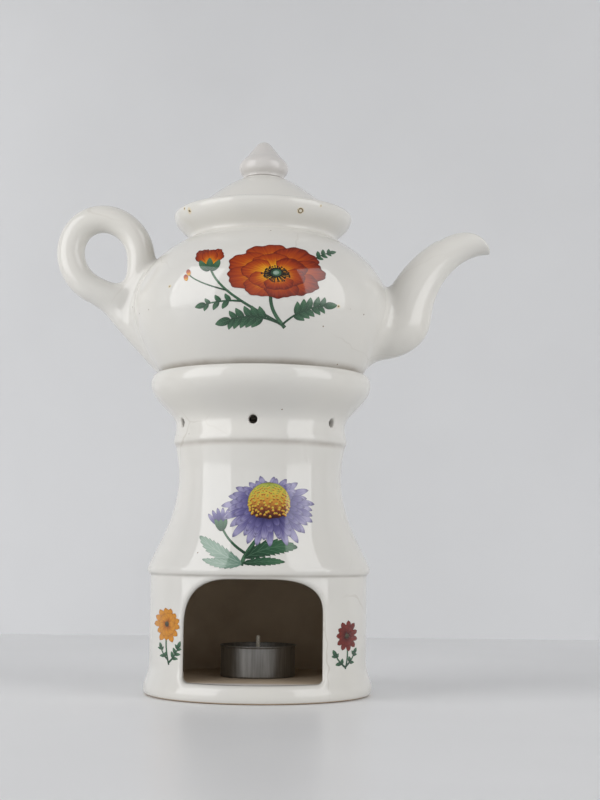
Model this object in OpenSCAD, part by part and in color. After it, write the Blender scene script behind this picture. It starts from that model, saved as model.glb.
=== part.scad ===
// Veilleuse: a small teapot that stands on a hollow ceramic warmer with a night-light inside.
// Millimetres, +Z up, origin on the table at the middle of the stand's foot.
// The doorway of the stand faces -Y, the spout points to +X and the handle to -X.

/* [Stand] */
// Height of the stand at the crest of its rim
stand_h = 161.3; // [158:0.1:168]
// Diameter of the foot at its widest
foot_d = 116.6; // [114:0.2:124]
// Outside diameter of the lamp drum
drum_d = 111; // [106:0.2:112]
// Diameter over the ridge that tops the drum
ridge_d = 114.4; // [113:0.2:118]
// Height of the ridge
ridge_z = 61; // [58:0.5:66]
// Diameter of the waist, the narrowest place
waist_d = 84; // [80:0.5:88]
// Height of the waist
waist_z = 109; // [104:0.5:112]
// Diameter of the neck above the bead, where the vents are
neck_d = 87.6; // [86:0.2:92]
// How far the bead stands out from the neck
bead_rise = 1.1; // [0.6:0.1:2]
// Height of the bead
bead_z = 126.7; // [124:0.1:128]
// Diameter of the cup at its widest
cup_d = 114.4; // [112:0.2:120]
// Diameter of the rim's crest
rim_d = 108.8; // [106:0.2:110]
// Thickness of the stand's wall
stand_wall = 5; // [4:0.1:6]
// Height of the chamber's floor
floor_z = 7; // [6:0.5:10]
// Thickness of the floor
floor_t = 5; // [4:0.5:6]
// Width of the ring that the stand rests on
foot_ring_w = 7; // [5:0.5:9]

/* [Doorway and vents] */
// Width of the doorway
door_w = 67.6; // [50:0.2:72]
// Height of the doorway above the floor
door_h = 50; // [40:0.5:51]
// Width of the round of the doorway's upper corners
door_corner_w = 17.6; // [8:0.2:20]
// Height of the round of the doorway's upper corners
door_corner_h = 24; // [8:0.5:28]
// Radius of the doorway's lower corners
door_sill_r = 2.5; // [1:0.1:5]
// Number of vents around the neck
vent_count = 6; // [4:1:8]
// Diameter of a vent
vent_d = 4.4; // [4:0.1:5]
// Turn of the ring of vents away from the doorway's middle, in degrees
vent_turn = -2.4; // [-10:0.1:10]

/* [Pot] */
// Depth of the ledge on which the pot stands, below the stand's rim
seat_drop = 20.3; // [19:0.1:21]
// Room between the pot and the crest of the stand's rim
rim_gap = 2; // [1.2:0.1:3]
// Diameter of the pot's foot
pot_foot_d = 79; // [74:0.5:79]
// Diameter of the belly
belly_d = 134.2; // [128:0.2:140]
// Height of the belly's widest place above the pot's foot
belly_up = 54; // [51:0.5:59]
// Diameter of the narrow place under the collar
throat_out_d = 75.6; // [74:0.2:80]
// Height of that narrow place above the belly's widest place
throat_up = 39; // [36:0.5:43]
// Thickness of the pot's wall
pot_wall = 4.5; // [3.5:0.1:5.5]
// Diameter of the collar at its widest
collar_d = 93.8; // [92:0.2:98]
// Height of the collar from its narrow place to its lip
collar_h = 13.4; // [12.4:0.2:16]
// Inside diameter of the mouth around the lid
mouth_d = 84.6; // [82:0.2:85]
// Depth of the lid's ledge below the lip
ledge_drop = 5.4; // [5:0.1:6.2]
// Inside diameter of the lid's ledge
ledge_in_d = 76; // [72:0.2:77]

/* [Lid] */
// Room between the lid's edge and the mouth, all round
lid_gap = 0.6; // [0.3:0.1:1]
// Room between the lid's skirt and the throat, all round
skirt_gap = 0.9; // [0.6:0.1:2]
// Depth of the skirt that keeps the lid in place
skirt_h = 5; // [4:0.5:7]
// Height of the lid's dome above its ledge
dome_h = 25; // [20:0.5:28]
// Thickness of the lid
lid_wall = 4; // [3:0.1:5]
// Diameter of the knob
knob_d = 26; // [22:0.5:30]
// Height of the knob
knob_h = 20; // [16:0.5:24]
// Diameter of the knob's neck
knob_neck_d = 20.4; // [16:0.2:21]

/* [Spout] */
// Reach of the spout's tip beyond the belly
spout_reach = 52.4; // [46:0.2:58]
// Height of the spout's tip above the belly's widest place
spout_rise = 41.3; // [36:0.1:46]
// Radius of the spout at its root
spout_root_r = 20; // [17:0.2:22]
// Radius of the spout at its mouth
spout_tip_r = 7; // [6:0.1:8]
// Thickness of the spout's wall
spout_wall = 2.6; // [2:0.1:3]
// Slope of the cut across the spout's mouth, in degrees below level
mouth_slope = 37.5; // [20:0.5:50]
// Diameter of a hole in the strainer behind the spout
strainer_d = 4.4; // [3:0.1:5]

/* [Handle] */
// Distance of the loop's middle from the belly
loop_out = 14.6; // [13:0.1:17]
// Height of the loop's middle above the belly's widest place
loop_up = 28.9; // [26:0.1:31]
// Radius of the loop, measured to the middle of its roll of clay
loop_r = 19.8; // [17.5:0.1:21]
// Diameter of the roll of clay
loop_t = 14.4; // [12:0.1:15]
// Radius of the tail where it joins the pot
tail_r = 16; // [13:0.2:16]

/* [Tea light] */
// Diameter of the tea light's cup
tealight_d = 38; // [36:0.5:40]
// Height of the cup
tealight_h = 16; // [13:0.5:20]
// Thickness of the cup's sheet
sheet_t = 0.4; // [0.3:0.05:0.6]
// Height of the wax in the cup
wax_h = 13; // [10:0.5:13]
// Room between the wax and the cup, which opens as the wax cools
wax_gap = 0.1; // [0.05:0.05:0.3]
// Diameter of the wick
wick_d = 2.2; // [1.6:0.1:3]
// Height of the wick above the wax
wick_out = 7; // [5:0.5:12]
// Diameter of the tab that holds the wick
tab_d = 14; // [10:0.5:18]

/* [Hidden] */
$fn = 96;

glaze = "#dedbd3";
foil = "#c3c5c8";
paraffin = "#efece2";
cotton = "#f3ecd8";

// Radii of the stand
foot_r = foot_d / 2;
drum_r = drum_d / 2;
ridge_r = ridge_d / 2;
waist_r = waist_d / 2;
neck_r = neck_d / 2;
cup_r = cup_d / 2;
rim_r = rim_d / 2;
chamber_r = drum_r - stand_wall;
chimney_r = waist_r - stand_wall;
vent_ring_r = neck_r - stand_wall;

// The foot rolls under, then sweeps in to the drum
foot_roll_w = 1.8;
foot_roll_h = 2.6;
foot_sweep_h = 14;
ridge_half_h = 2.6;
bead_r = neck_r + bead_rise;
bead_half_h = 2.4;
bead_half_w = 1;
bead_low_turn = -80;
bead_high_turn = 25;
// The neck is narrowest above the bead, and the cup is widest a little below its rim
neck_z = bead_z + 7.8;
cup_widest_z = stand_h - 5;
cup_turn = 10;
rim_lip_w = 0.6;
rim_lip_h = 1;
rim_lip_from = 100;
rim_lip_to = 160;
// The ledge that carries the pot, the vents close under it, and the room around the pot
seat_z = stand_h - seat_drop;
ledge_in_r = pot_foot_d / 2 - 6.5;
seat_t = 3.6;
vent_below = 0.2;
vent_z = seat_z - seat_t - vent_d / 2 - vent_below;
foot_room = 1.4;
rim_room = rim_gap * 0.6;

// Radii of the pot
belly_r = belly_d / 2;
belly_z = seat_z + belly_up;
throat_z = belly_z + throat_up;
pot_foot_r = pot_foot_d / 2;
pot_foot_h = 2;
pot_foot_ring_w = 4.5;
pot_recess_h = 1.6;
throat_r = throat_out_d / 2;
collar_r = collar_d / 2;
mouth_r = mouth_d / 2;
lid_ledge_r = ledge_in_d / 2;
lip_z = throat_z + collar_h;
lip_h = 3;
lid_z = lip_z - ledge_drop;
throat_in_r = throat_r - pot_wall;
throat_in_z = throat_z - 2.5;
// How much the pot's mouth narrows for each mm below the lid's ledge
throat_lean = (lid_ledge_r - throat_in_r) / (lid_z - throat_in_z);

// Lid and knob
lid_r = mouth_r - lid_gap;
lid_edge_h = 3;
lid_edge_r = 1.2;
lid_edge_turn = 70;
skirt_r = lid_ledge_r - skirt_gap;
skirt_low_r = skirt_r - skirt_h * throat_lean;
skirt_t = 2.4;
skirt_low_t = 2.2;
knob_r = knob_d / 2;
knob_neck_r = knob_neck_d / 2;
knob_z = lid_z + dome_h;

// Tea light
tealight_r = tealight_d / 2;
wax_r = tealight_r - sheet_t - wax_gap;
wax_z = floor_z + sheet_t;
wick_r = wick_d / 2;
tab_t = 0.4;
tab_neck_h = 3;
tab_neck_t = 0.4;
wick_room = 0.05;
cup_lip_w = 0.7;

// How finely the curves are drawn
curve_n = 12;
sweep_n = 22;
sweep_sides = 24;

// Cubic curve through control points p, at t and as a row of points
function bezier(p, t) =
    pow(1 - t, 3) * p[0] + 3 * pow(1 - t, 2) * t * p[1] + 3 * (1 - t) * t * t * p[2] + pow(t, 3) * p[3];
function slope(p, t) =
    3 * (pow(1 - t, 2) * (p[1] - p[0]) + 2 * (1 - t) * t * (p[2] - p[1]) + t * t * (p[3] - p[2]));
function curve(p, n = curve_n, from = 0, to = 1) = [for (i = [0:n]) bezier(p, from + (to - from) * i / n)];
// Elliptical arc about c from angle a to angle b
function arc(c, rx, rz, a, b, n = 6) =
    [for (i = [0:n]) let (q = a + (b - a) * i / n) [c[0] + rx * cos(q), c[1] + rz * sin(q)]];
function flip(list) = [for (i = [len(list) - 1:-1:0]) list[i]];
// Points of a curve set off by a distance that runs from d0 to d1, to the right of its direction
function set_off(p, d0, d1, from, to, n = curve_n) =
    [for (i = [0:n])
        let (t = from + (to - from) * i / n, s = slope(p, t), d = d0 + (d1 - d0) * i / n)
        bezier(p, t) + d * [s[1], -s[0]] / norm(s)];

// Flank of the pot from its belly down to its foot. It passes the stand's rim at rim_t.
rim_t = 0.6;
flank_top = [belly_r, belly_z];
flank_mid = [belly_r, belly_z - 17];
flank_end = [pot_foot_r + 0.5, seat_z + pot_foot_h];
flank_at_rim = [rim_r - rim_gap, stand_h];
flank_low = (flank_at_rim - pow(1 - rim_t, 3) * flank_top - 3 * pow(1 - rim_t, 2) * rim_t * flank_mid
    - pow(rim_t, 3) * flank_end) / (3 * (1 - rim_t) * rim_t * rim_t);
flank = [flank_top, flank_mid, flank_low, flank_end];
shoulder = [[belly_r, belly_z], [belly_r, belly_z + 16], [belly_r - 12, throat_z - 9], [throat_r, throat_z]];

collar = [[throat_r, throat_z], [throat_r + 2, throat_z + 2], [collar_r, throat_z + 5.5],
    [collar_r, lip_z - lip_h]];
pot_outside = concat(flip(curve(flank)), curve(shoulder), curve(collar));

// Inside of the pot: under its shoulder, and down its flank to the bottom
pot_bottom_z = seat_z + pot_recess_h + pot_wall;
pot_in_r = belly_r - pot_wall;
shoulder_inside = [[throat_in_r, throat_in_z], [belly_r - 15.5, throat_z - 12.5],
    [pot_in_r, belly_z + 14], [pot_in_r, belly_z]];
flank_inside = [[pot_in_r, belly_z], [pot_in_r, belly_z - 17], flank_low + [-3, 2],
    [pot_foot_r - 5, pot_bottom_z]];

// Curves of the stand: foot, bell, throat under the bead, neck above it, cup, and the inside of the bell
ridge_turn = 30;
ridge_end = [drum_r + (ridge_r - drum_r) * cos(ridge_turn), ridge_z + ridge_half_h * sin(ridge_turn)];
bead_in_r = bead_r - bead_half_w;
bead_foot = [bead_in_r, bead_z - bead_half_h];
bead_end = [bead_in_r + bead_half_w * cos(bead_high_turn), bead_z + bead_half_h * sin(bead_high_turn)];
foot_sweep = [[foot_r, foot_roll_h], [foot_r, 6], [drum_r, 8], [drum_r, foot_sweep_h]];
bell = [ridge_end, [ridge_r - 5.7, ridge_z + 14.5], [waist_r, waist_z - 21], [waist_r, waist_z]];
bell_throat = [[waist_r, waist_z], [waist_r, waist_z + 5], bead_foot - [0.7, 4], bead_foot];
neck = [bead_end, [bead_end[0] - 0.3, bead_end[1] + 2], [neck_r, neck_z - 3], [neck_r, neck_z]];
cup = [[neck_r, neck_z], [neck_r, neck_z + 7], [cup_r, cup_widest_z - 9], [cup_r, cup_widest_z]];
bell_inside = [[chimney_r, waist_z], [chimney_r, waist_z - 23], [chamber_r - 4.5, ridge_z + 13],
    [chamber_r, ridge_z - 3]];

// Outline of the stand, from its foot up the outside and back down the inside
module stand_outline() {
    foot_in_r = foot_r - foot_roll_w - foot_ring_w;
    polygon(concat(
        [[0, floor_z - floor_t], [foot_in_r, floor_z - floor_t], [foot_in_r, 0]],
        arc([foot_r - foot_roll_w, foot_roll_h], foot_roll_w, foot_roll_h, -90, 0),
        curve(foot_sweep, 8),
        arc([drum_r, ridge_z], ridge_r - drum_r, ridge_half_h, -90, ridge_turn, 8),
        curve(bell),
        curve(bell_throat, 6),
        arc([bead_in_r, bead_z], bead_half_w, bead_half_h, bead_low_turn, bead_high_turn, 8),
        curve(neck, 6),
        curve(cup),
        arc([rim_r, cup_widest_z], cup_r - rim_r, stand_h - cup_widest_z, cup_turn, 90, 8),
        arc([rim_r, stand_h - rim_lip_h], rim_lip_w, rim_lip_h, rim_lip_from, rim_lip_to, 3),
        set_off(flank, -rim_room, -foot_room, rim_t + 0.04, 0.97, 8),
        [[pot_foot_r + foot_room, seat_z], [ledge_in_r, seat_z], [ledge_in_r, seat_z - seat_t],
            [vent_ring_r, seat_z - seat_t], [vent_ring_r, bead_z]],
        curve(bell_inside),
        [[chamber_r, floor_z], [0, floor_z]]));
}

// Doorway with wide round upper corners, standing on the floor's level
module door_outline() {
    sill = [door_w / 2 - door_sill_r, floor_z + door_sill_r];
    corner = [door_w / 2 - door_corner_w, floor_z + door_h - door_corner_h];
    polygon(concat(
        arc(sill, door_sill_r, door_sill_r, -90, 0),
        arc(corner, door_corner_w, door_corner_h, 0, 90, curve_n),
        arc([-corner[0], corner[1]], door_corner_w, door_corner_h, 90, 180, curve_n),
        arc([-sill[0], sill[1]], door_sill_r, door_sill_r, 180, 270)));
}

module warmer_stand() {
    color(glaze)
        difference() {
            rotate_extrude()
                stand_outline();
            rotate([90, 0, 0])
                translate([0, 0, chamber_r / 3])
                    linear_extrude(foot_r)
                        door_outline();
            for (i = [0:vent_count - 1])
                rotate([0, 0, vent_turn - 90 + i * 360 / vent_count])
                    translate([ledge_in_r, 0, vent_z])
                        rotate([0, 90, 0])
                            cylinder(d = vent_d, h = cup_r - ledge_in_r);
        }
}

// The pot's outside as one solid, which the spout and the handle are cut to
module pot_form() {
    rotate_extrude()
        polygon(concat([[0, flank_end[1]]], pot_outside, [[0, lip_z - lip_h]]));
}

module pot_body() {
    foot_in_r = pot_foot_r - pot_foot_ring_w;
    recess_z = seat_z + pot_recess_h;
    lip_r = (collar_r + mouth_r) / 2;
    color(glaze)
        difference() {
            rotate_extrude()
                polygon(concat(
                    [[0, recess_z], [foot_in_r, recess_z], [foot_in_r, seat_z], [pot_foot_r, seat_z]],
                    pot_outside,
                    arc([lip_r, lip_z - lip_h], collar_r - lip_r, lip_h, 15, 180, 10),
                    [[mouth_r, lid_z], [lid_ledge_r, lid_z]],
                    curve(shoulder_inside),
                    curve(flank_inside),
                    [[0, pot_bottom_z]]));
            translate([pot_in_r - 2 * pot_wall, 0, spout_path[0][1]])
                rotate([0, 90, 0])
                    strainer(4 * pot_wall);
        }
}

// The strainer is one hole with six around it
module strainer(depth) {
    cylinder(d = strainer_d, h = depth);
    for (i = [0:5])
        rotate([0, 0, 60 * i])
            translate([0, 2 * strainer_d, 0])
                cylinder(d = strainer_d, h = depth);
}

// Round sections swept along a curve in the XZ plane. up and deep are the section's half height and half
// depth along the curve, and lean_at_root is the share of the curve's slope that the first section takes.
module sweep(path, up, deep, lean_at_root, from = 0, to = 1, n = sweep_n) {
    ring_points = [for (i = [0:n])
        let (t = from + (to - from) * i / n,
            c = bezier(path, t),
            s = slope(path, t),
            q = atan2(s[1], s[0]) * min(1, lean_at_root + 1.1 * t))
        for (k = [0:sweep_sides - 1])
            let (a = 360 * k / sweep_sides, h = bezier(up, t) * sin(a))
            [c[0] - h * sin(q), bezier(deep, t) * cos(a), c[1] + h * cos(q)]];
    sides = [for (i = [0:n - 1], k = [0:sweep_sides - 1])
        let (a = i * sweep_sides + k, b = i * sweep_sides + (k + 1) % sweep_sides)
        each [[a, b + sweep_sides, b], [a, a + sweep_sides, b + sweep_sides]]];
    root = [for (k = [0:sweep_sides - 1]) k];
    tip = [for (k = [sweep_sides - 1:-1:0]) n * sweep_sides + k];
    polyhedron(ring_points, concat(sides, [root, tip]));
}

// Swan-neck spout: it leaves the belly level, turns up, and bends out again to a mouth cut on a slope
spout_path = [[belly_r - 13.1, belly_z - 6], [belly_r + 24.4, belly_z - 11],
    [belly_r - 3.1, belly_z + 29.5], [belly_r + spout_reach, belly_z + spout_rise]];
spout_up = [spout_root_r, spout_root_r * 0.78, spout_tip_r * 1.31, spout_tip_r];
spout_deep = [spout_root_r * 0.92, spout_root_r * 0.74, spout_tip_r * 1.25, spout_tip_r * 0.92];
function thinned(radii) = [for (r = radii) r - spout_wall];

module spout() {
    mouth = [belly_r + spout_reach - 6.8, belly_z + spout_rise - 1.6];
    cutter = 6 * spout_tip_r;
    color(glaze)
        difference() {
            sweep(spout_path, spout_up, spout_deep, 0.45);
            sweep(spout_path, thinned(spout_up), thinned(spout_deep), 0.45, -0.02, 1.02);
            pot_form();
            translate([mouth[0], 0, mouth[1]])
                rotate([0, mouth_slope, 0])
                    translate([-cutter / 2, -cutter / 2, 0])
                        cube(cutter);
        }
}

// Ring of rolled clay with a tail that leaves it below and runs down into the pot's flank
loop_x = -belly_r - loop_out;
loop_z = belly_z + loop_up;
tail_from = 257;
tail_root = [loop_x, loop_z] + loop_r * [cos(tail_from), sin(tail_from)];
tail_path = [tail_root, tail_root + [13, -7], tail_root + [26, -17], tail_root + [39, -27]];
tail_up = [5.6, 9, tail_r - 0.5, tail_r];
tail_deep = [5.6, 7.5, 10.5, 12];

module handle() {
    color(glaze)
        difference() {
            union() {
                translate([loop_x, 0, loop_z])
                    rotate([90, 0, 0])
                        rotate_extrude()
                            translate([loop_r, 0])
                                circle(d = loop_t);
                sweep(tail_path, tail_up, tail_deep, 1, 0, 1, 12);
            }
            pot_form();
        }
}

module lid() {
    edge_z = lid_z + lid_edge_h;
    color(glaze)
        rotate_extrude()
            polygon(concat(
                [[skirt_r - skirt_t, lid_z], [skirt_low_r - skirt_low_t, lid_z - skirt_h],
                    [skirt_low_r, lid_z - skirt_h], [skirt_r, lid_z], [lid_r, lid_z]],
                arc([lid_r - lid_edge_r, edge_z], lid_edge_r, lid_edge_r, 0, lid_edge_turn, 4),
                curve([[lid_r - 1.6, edge_z + 1.3], [lid_r - 9.7, lid_z + 10], [lid_r / 2, knob_z - 4.5],
                    [knob_neck_r + 0.4, knob_z - 0.3]], 14),
                [[knob_neck_r + 0.2, knob_z], [0, knob_z], [0, knob_z - lid_wall]],
                curve([[knob_neck_r, knob_z - lid_wall - 0.6], [lid_r / 2 - 2, knob_z - lid_wall - 5],
                    [skirt_r - 5, lid_z + 6], [skirt_r - skirt_t, lid_z + 0.6]], 8)));
}

module lid_knob() {
    top_z = knob_z + knob_h;
    bulb_z = knob_z + 5.4;
    shoulder_z = bulb_z + 6;
    color(glaze)
        rotate_extrude()
            polygon(concat(
                [[0, knob_z]],
                curve([[knob_neck_r, knob_z], [knob_neck_r - 0.6, knob_z + 1.8], [knob_r, knob_z + 1.6],
                    [knob_r, bulb_z]], 8),
                curve([[knob_r, bulb_z], [knob_r, bulb_z + 3], [knob_r - 2, bulb_z + 4.4],
                    [knob_r - 3.8, shoulder_z]], 8),
                curve([[knob_r * 0.33, top_z - 2.4], [knob_r * 0.25, top_z - 0.8], [knob_r * 0.12, top_z],
                    [0, top_z]], 6)));
}

module tealight_cup() {
    color(foil)
        translate([0, 0, floor_z])
            rotate_extrude()
                polygon([[0, 0], [tealight_r - 0.6, 0], [tealight_r, 0.8],
                    [tealight_r, tealight_h - sheet_t], [tealight_r + cup_lip_w, tealight_h - sheet_t],
                    [tealight_r + cup_lip_w, tealight_h], [tealight_r - sheet_t, tealight_h],
                    [tealight_r - sheet_t, sheet_t], [0, sheet_t]]);
}

module tealight_wax() {
    bore_r = wick_r + wick_room;
    tab_neck_r = wick_r + tab_neck_t + 2 * wick_room;
    tab_hole_r = tab_d / 2 + wick_room;
    color(paraffin)
        translate([0, 0, wax_z])
            rotate_extrude()
                polygon([[tab_hole_r, 0], [wax_r, 0], [wax_r, wax_h], [bore_r, wax_h], [bore_r, tab_neck_h],
                    [tab_neck_r, tab_neck_h], [tab_neck_r, tab_t], [tab_hole_r, tab_t]]);
}

module wick_tab() {
    hole_r = wick_r + wick_room;
    color(foil)
        translate([0, 0, wax_z])
            rotate_extrude()
                polygon([[0, 0], [tab_d / 2, 0], [tab_d / 2, tab_t], [hole_r + tab_neck_t, tab_t],
                    [hole_r + tab_neck_t, tab_neck_h], [hole_r, tab_neck_h], [hole_r, tab_t], [0, tab_t]]);
}

module wick() {
    color(cotton)
        translate([0, 0, wax_z + tab_t])
            cylinder(r = wick_r, h = wax_h - tab_t + wick_out);
}

warmer_stand();
pot_body();
spout();
handle();
lid();
lid_knob();
tealight_cup();
tealight_wax();
wick_tab();
wick();
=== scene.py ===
import math

import bpy
import numpy as np
from mathutils import Matrix, kdtree


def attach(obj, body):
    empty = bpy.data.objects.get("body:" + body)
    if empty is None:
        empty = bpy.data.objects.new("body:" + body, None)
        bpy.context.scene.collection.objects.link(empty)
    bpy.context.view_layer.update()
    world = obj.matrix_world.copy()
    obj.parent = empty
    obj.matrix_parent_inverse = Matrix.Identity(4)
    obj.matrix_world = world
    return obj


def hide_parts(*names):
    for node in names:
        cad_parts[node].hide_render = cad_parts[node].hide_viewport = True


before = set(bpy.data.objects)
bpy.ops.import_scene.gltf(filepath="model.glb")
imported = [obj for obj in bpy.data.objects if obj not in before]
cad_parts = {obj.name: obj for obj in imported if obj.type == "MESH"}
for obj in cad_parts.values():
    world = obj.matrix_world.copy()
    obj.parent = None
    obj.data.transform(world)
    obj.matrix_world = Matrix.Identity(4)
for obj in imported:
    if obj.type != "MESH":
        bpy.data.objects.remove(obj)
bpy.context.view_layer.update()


# WARMER STAND
# One hollow body of white earthenware, slip-cast, with its doorway and vents cut while the clay was soft.
# A clear glaze covers it all but the ring that it stands on, and has melted every edge round.

# The sizes are drawn 288.7 mm tall, as measured, and come out at the 287 mm of the solids
MM = 0.001 * 287 / 288.7


def bend(points, count=40):
    """Points along a cubic curve with four control points."""
    t = np.linspace(0, 1, count)[:, None]
    a, b, c, d = np.array(points, float)
    return (1 - t) ** 3 * a + 3 * (1 - t) ** 2 * t * b + 3 * (1 - t) * t * t * c + t ** 3 * d


def arc(centre, half_w, half_h, start, end, count=16):
    """Points along an elliptical arc, with its angles in degrees."""
    q = np.radians(np.linspace(start, end, count))
    return np.stack([centre[0] + half_w * np.cos(q), centre[1] + half_h * np.sin(q)], 1)


def melted(parts, spread=0.6, step=0.4):
    """The outline of a turned piece, from axis to axis, with its corners melted round over about spread mm."""
    raw = np.concatenate([np.atleast_2d(np.array(p, float)) for p in parts])
    run = np.concatenate([[0], np.cumsum(np.linalg.norm(np.diff(raw, axis=0), axis=1))])
    even = np.linspace(0, run[-1], int(run[-1] / step) + 2)
    line = np.stack([np.interp(even, run, raw[:, 0]), np.interp(even, run, raw[:, 1])], 1)
    reach = int(3 * spread / step) + 1
    mirror = np.array([-1, 1])
    padded = np.concatenate([line[reach:0:-1] * mirror, line, line[-2:-reach - 2:-1] * mirror])
    weight = np.exp(-0.5 * (np.arange(-reach, reach + 1) * step / spread) ** 2)
    weight /= weight.sum()
    return np.stack([np.convolve(padded[:, c], weight, "valid") for c in (0, 1)], 1)


def facing(line):
    """Outward direction at each point of an outline that runs counter-clockwise around its solid."""
    along = np.gradient(line, axis=0)
    out = np.stack([along[:, 1], -along[:, 0]], 1)
    return out / np.linalg.norm(out, axis=1)[:, None]


def turned_field(line):
    """Distance from a turned solid's skin, and the direction in which it grows, at points in space."""
    out = facing(line)
    tree = kdtree.KDTree(len(line))
    for i, (r, z) in enumerate(line):
        tree.insert((r, z, 0), i)
    tree.balance()
    pitch, margin = 0.5, 8
    low = line.min(0) - margin
    count = ((line.max(0) + margin - low) / pitch).astype(int) + 1
    nearest = np.array([[tree.find((low[0] + i * pitch, low[1] + k * pitch, 0))[1] for k in range(count[1])]
                        for i in range(count[0])])

    def field(p):
        r = np.hypot(p[:, 0], p[:, 1])
        flat = np.stack([r, p[:, 2]], 1)
        cell = np.clip(np.rint((flat - low) / pitch).astype(int), 0, count - 1)
        near = nearest[cell[:, 0], cell[:, 1]]
        best = np.full(len(p), np.inf)
        far = np.zeros(len(p))
        way = np.zeros((len(p), 2))
        for first in (near - 3, near - 2, near - 1, near, near + 1, near + 2):
            i = np.clip(first, 0, len(line) - 2)
            side = line[i + 1] - line[i]
            t = np.clip(((flat - line[i]) * side).sum(1) / (side ** 2).sum(1), 0, 1)
            gap = flat - line[i] - t[:, None] * side
            size = np.linalg.norm(gap, axis=1)
            n = out[i] * (1 - t)[:, None] + out[i + 1] * t[:, None]
            closer = size < best
            best = np.where(closer, size, best)
            far = np.where(closer, size * np.sign((gap * n).sum(1)), far)
            way = np.where(closer[:, None], n, way)
        safe = np.maximum(r, 1e-9)
        grow = np.stack([way[:, 0] * p[:, 0] / safe, way[:, 0] * p[:, 1] / safe, way[:, 1]], 1)
        return far, grow

    return field


def round_over(a, b, k):
    """The part of solid a that is in solid b too, with the edge between them rounded over about k mm."""
    k = np.maximum(k, 1e-6)
    h = np.clip(0.5 + 0.5 * (a[0] - b[0]) / k, 0, 1)
    grow = None if a[1] is None else b[1] * (1 - h)[:, None] + a[1] * h[:, None]
    return b[0] * (1 - h) + a[0] * h + k * h * (1 - h), grow


def skin(axes, value):
    """Mesh of the zero surface of values on a lattice: a point in each cell it crosses, a quad on each edge."""
    grid = np.meshgrid(*axes, indexing="ij")
    cells = tuple(n - 1 for n in value.shape)
    total = np.zeros(cells + (3,))
    count = np.zeros(cells)
    cuts = []
    for axis in range(3):
        low = tuple(slice(0, -1) if c == axis else slice(None) for c in range(3))
        high = tuple(slice(1, None) if c == axis else slice(None) for c in range(3))
        a, b = value[low], value[high]
        cut = (a < 0) != (b < 0)
        share = np.where(cut, a / np.where(cut, a - b, 1), 0)
        cuts.append((cut, a < 0))
        place = [grid[c][low] + (share * (grid[c][high] - grid[c][low]) if c == axis else 0) for c in range(3)]
        u, v = [c for c in range(3) if c != axis]
        for du in (0, 1):
            for dv in (0, 1):
                part = [slice(None)] * 3
                part[u] = slice(du, du + cells[u])
                part[v] = slice(dv, dv + cells[v])
                part = tuple(part)
                count += cut[part]
                for c in range(3):
                    total[..., c] += np.where(cut[part], place[c][part], 0)
    live = count > 0
    number = np.full(cells, -1)
    number[live] = np.arange(live.sum())
    quads = []
    for axis in range(3):
        cut, below = cuts[axis]
        u, v = (axis + 1) % 3, (axis + 2) % 3
        inner = [slice(None)] * 3
        inner[u] = slice(1, -1)
        inner[v] = slice(1, -1)
        inner = tuple(inner)
        at = np.argwhere(cut[inner])
        up = below[inner][cut[inner]]
        at[:, u] += 1
        at[:, v] += 1
        corners = []
        for du, dv in ((-1, -1), (0, -1), (0, 0), (-1, 0)):
            i = at.copy()
            i[:, u] += du
            i[:, v] += dv
            corners.append(number[tuple(i.T)])
        quad = np.stack(corners, 1)
        quads.append(np.where(up[:, None], quad, quad[:, ::-1]))
    return total[live] / count[live][:, None], np.concatenate(quads)


def settle(points, field, rounds=4):
    """Points drawn onto the zero surface of a field, and the surface's direction at each."""
    for _ in range(rounds):
        far, grow = field(points)
        size = np.maximum((grow ** 2).sum(1), 1e-6)
        points = points - (far / size)[:, None] * grow
    grow = field(points)[1]
    return points, grow / np.maximum(np.linalg.norm(grow, axis=1), 1e-9)[:, None]


def welded(points, faces):
    """The mesh with points in the same place joined, and faces of fewer than three corners left out."""
    _, first, joined = np.unique(np.round(points, 4), axis=0, return_index=True, return_inverse=True)
    kept = []
    for face in joined.reshape(-1)[faces]:
        ring = list(dict.fromkeys(face.tolist()))
        if len(ring) > 2:
            kept.append(ring)
    return points[first], kept


def turned_skin(field, radii, turns, heights, shell):
    """Skin of a turned piece with cuts. The lattice is in radius, turn and height, so its rings stay true."""
    around = np.concatenate([[turns[-1] - 2 * math.pi], turns, [turns[0] + 2 * math.pi]])
    r, z = np.meshgrid(radii, heights, indexing="ij")
    flat = np.stack([r.ravel(), np.zeros(r.size), z.ravel()], 1)
    plain = shell(flat)[0].reshape(len(radii), 1, len(heights))
    r, q, z = np.meshgrid(radii, around, heights, indexing="ij")
    space = np.stack([(r * np.cos(q)).ravel(), (r * np.sin(q)).ravel(), z.ravel()], 1)
    value = field(space, np.broadcast_to(plain, r.shape).ravel())[0].reshape(r.shape)
    at, faces = skin((radii, around, heights), value)
    at[at[:, 0] < radii[1], 0] = 0
    points = np.stack([at[:, 0] * np.cos(at[:, 1]), at[:, 0] * np.sin(at[:, 1]), at[:, 2]], 1)
    points, faces = welded(points, faces)
    points, out = settle(points, field)
    return points, faces, out


def steps(*runs):
    """Lattice levels from runs of (start, end, step)."""
    return np.unique(np.round(np.concatenate([np.arange(a, b, s) for a, b, s in runs]), 5))


def add_piece(name, points, faces, out, material, body, slot, *nodes):
    """A mesh in millimetres as an object that rides on a body and stands for CAD nodes."""
    mesh = bpy.data.meshes.new(name)
    mesh.from_pydata((points * MM).tolist(), [], [list(map(int, f)) for f in faces])
    mesh.validate()
    mesh.shade_smooth()
    if out is not None:
        mesh.normals_split_custom_set_from_vertices(out.tolist())
    piece = bpy.data.objects.new(name, mesh)
    bpy.context.scene.collection.objects.link(piece)
    mesh.materials.append(material)
    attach(piece, body)
    if nodes:
        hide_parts(*nodes)
    return piece


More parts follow.
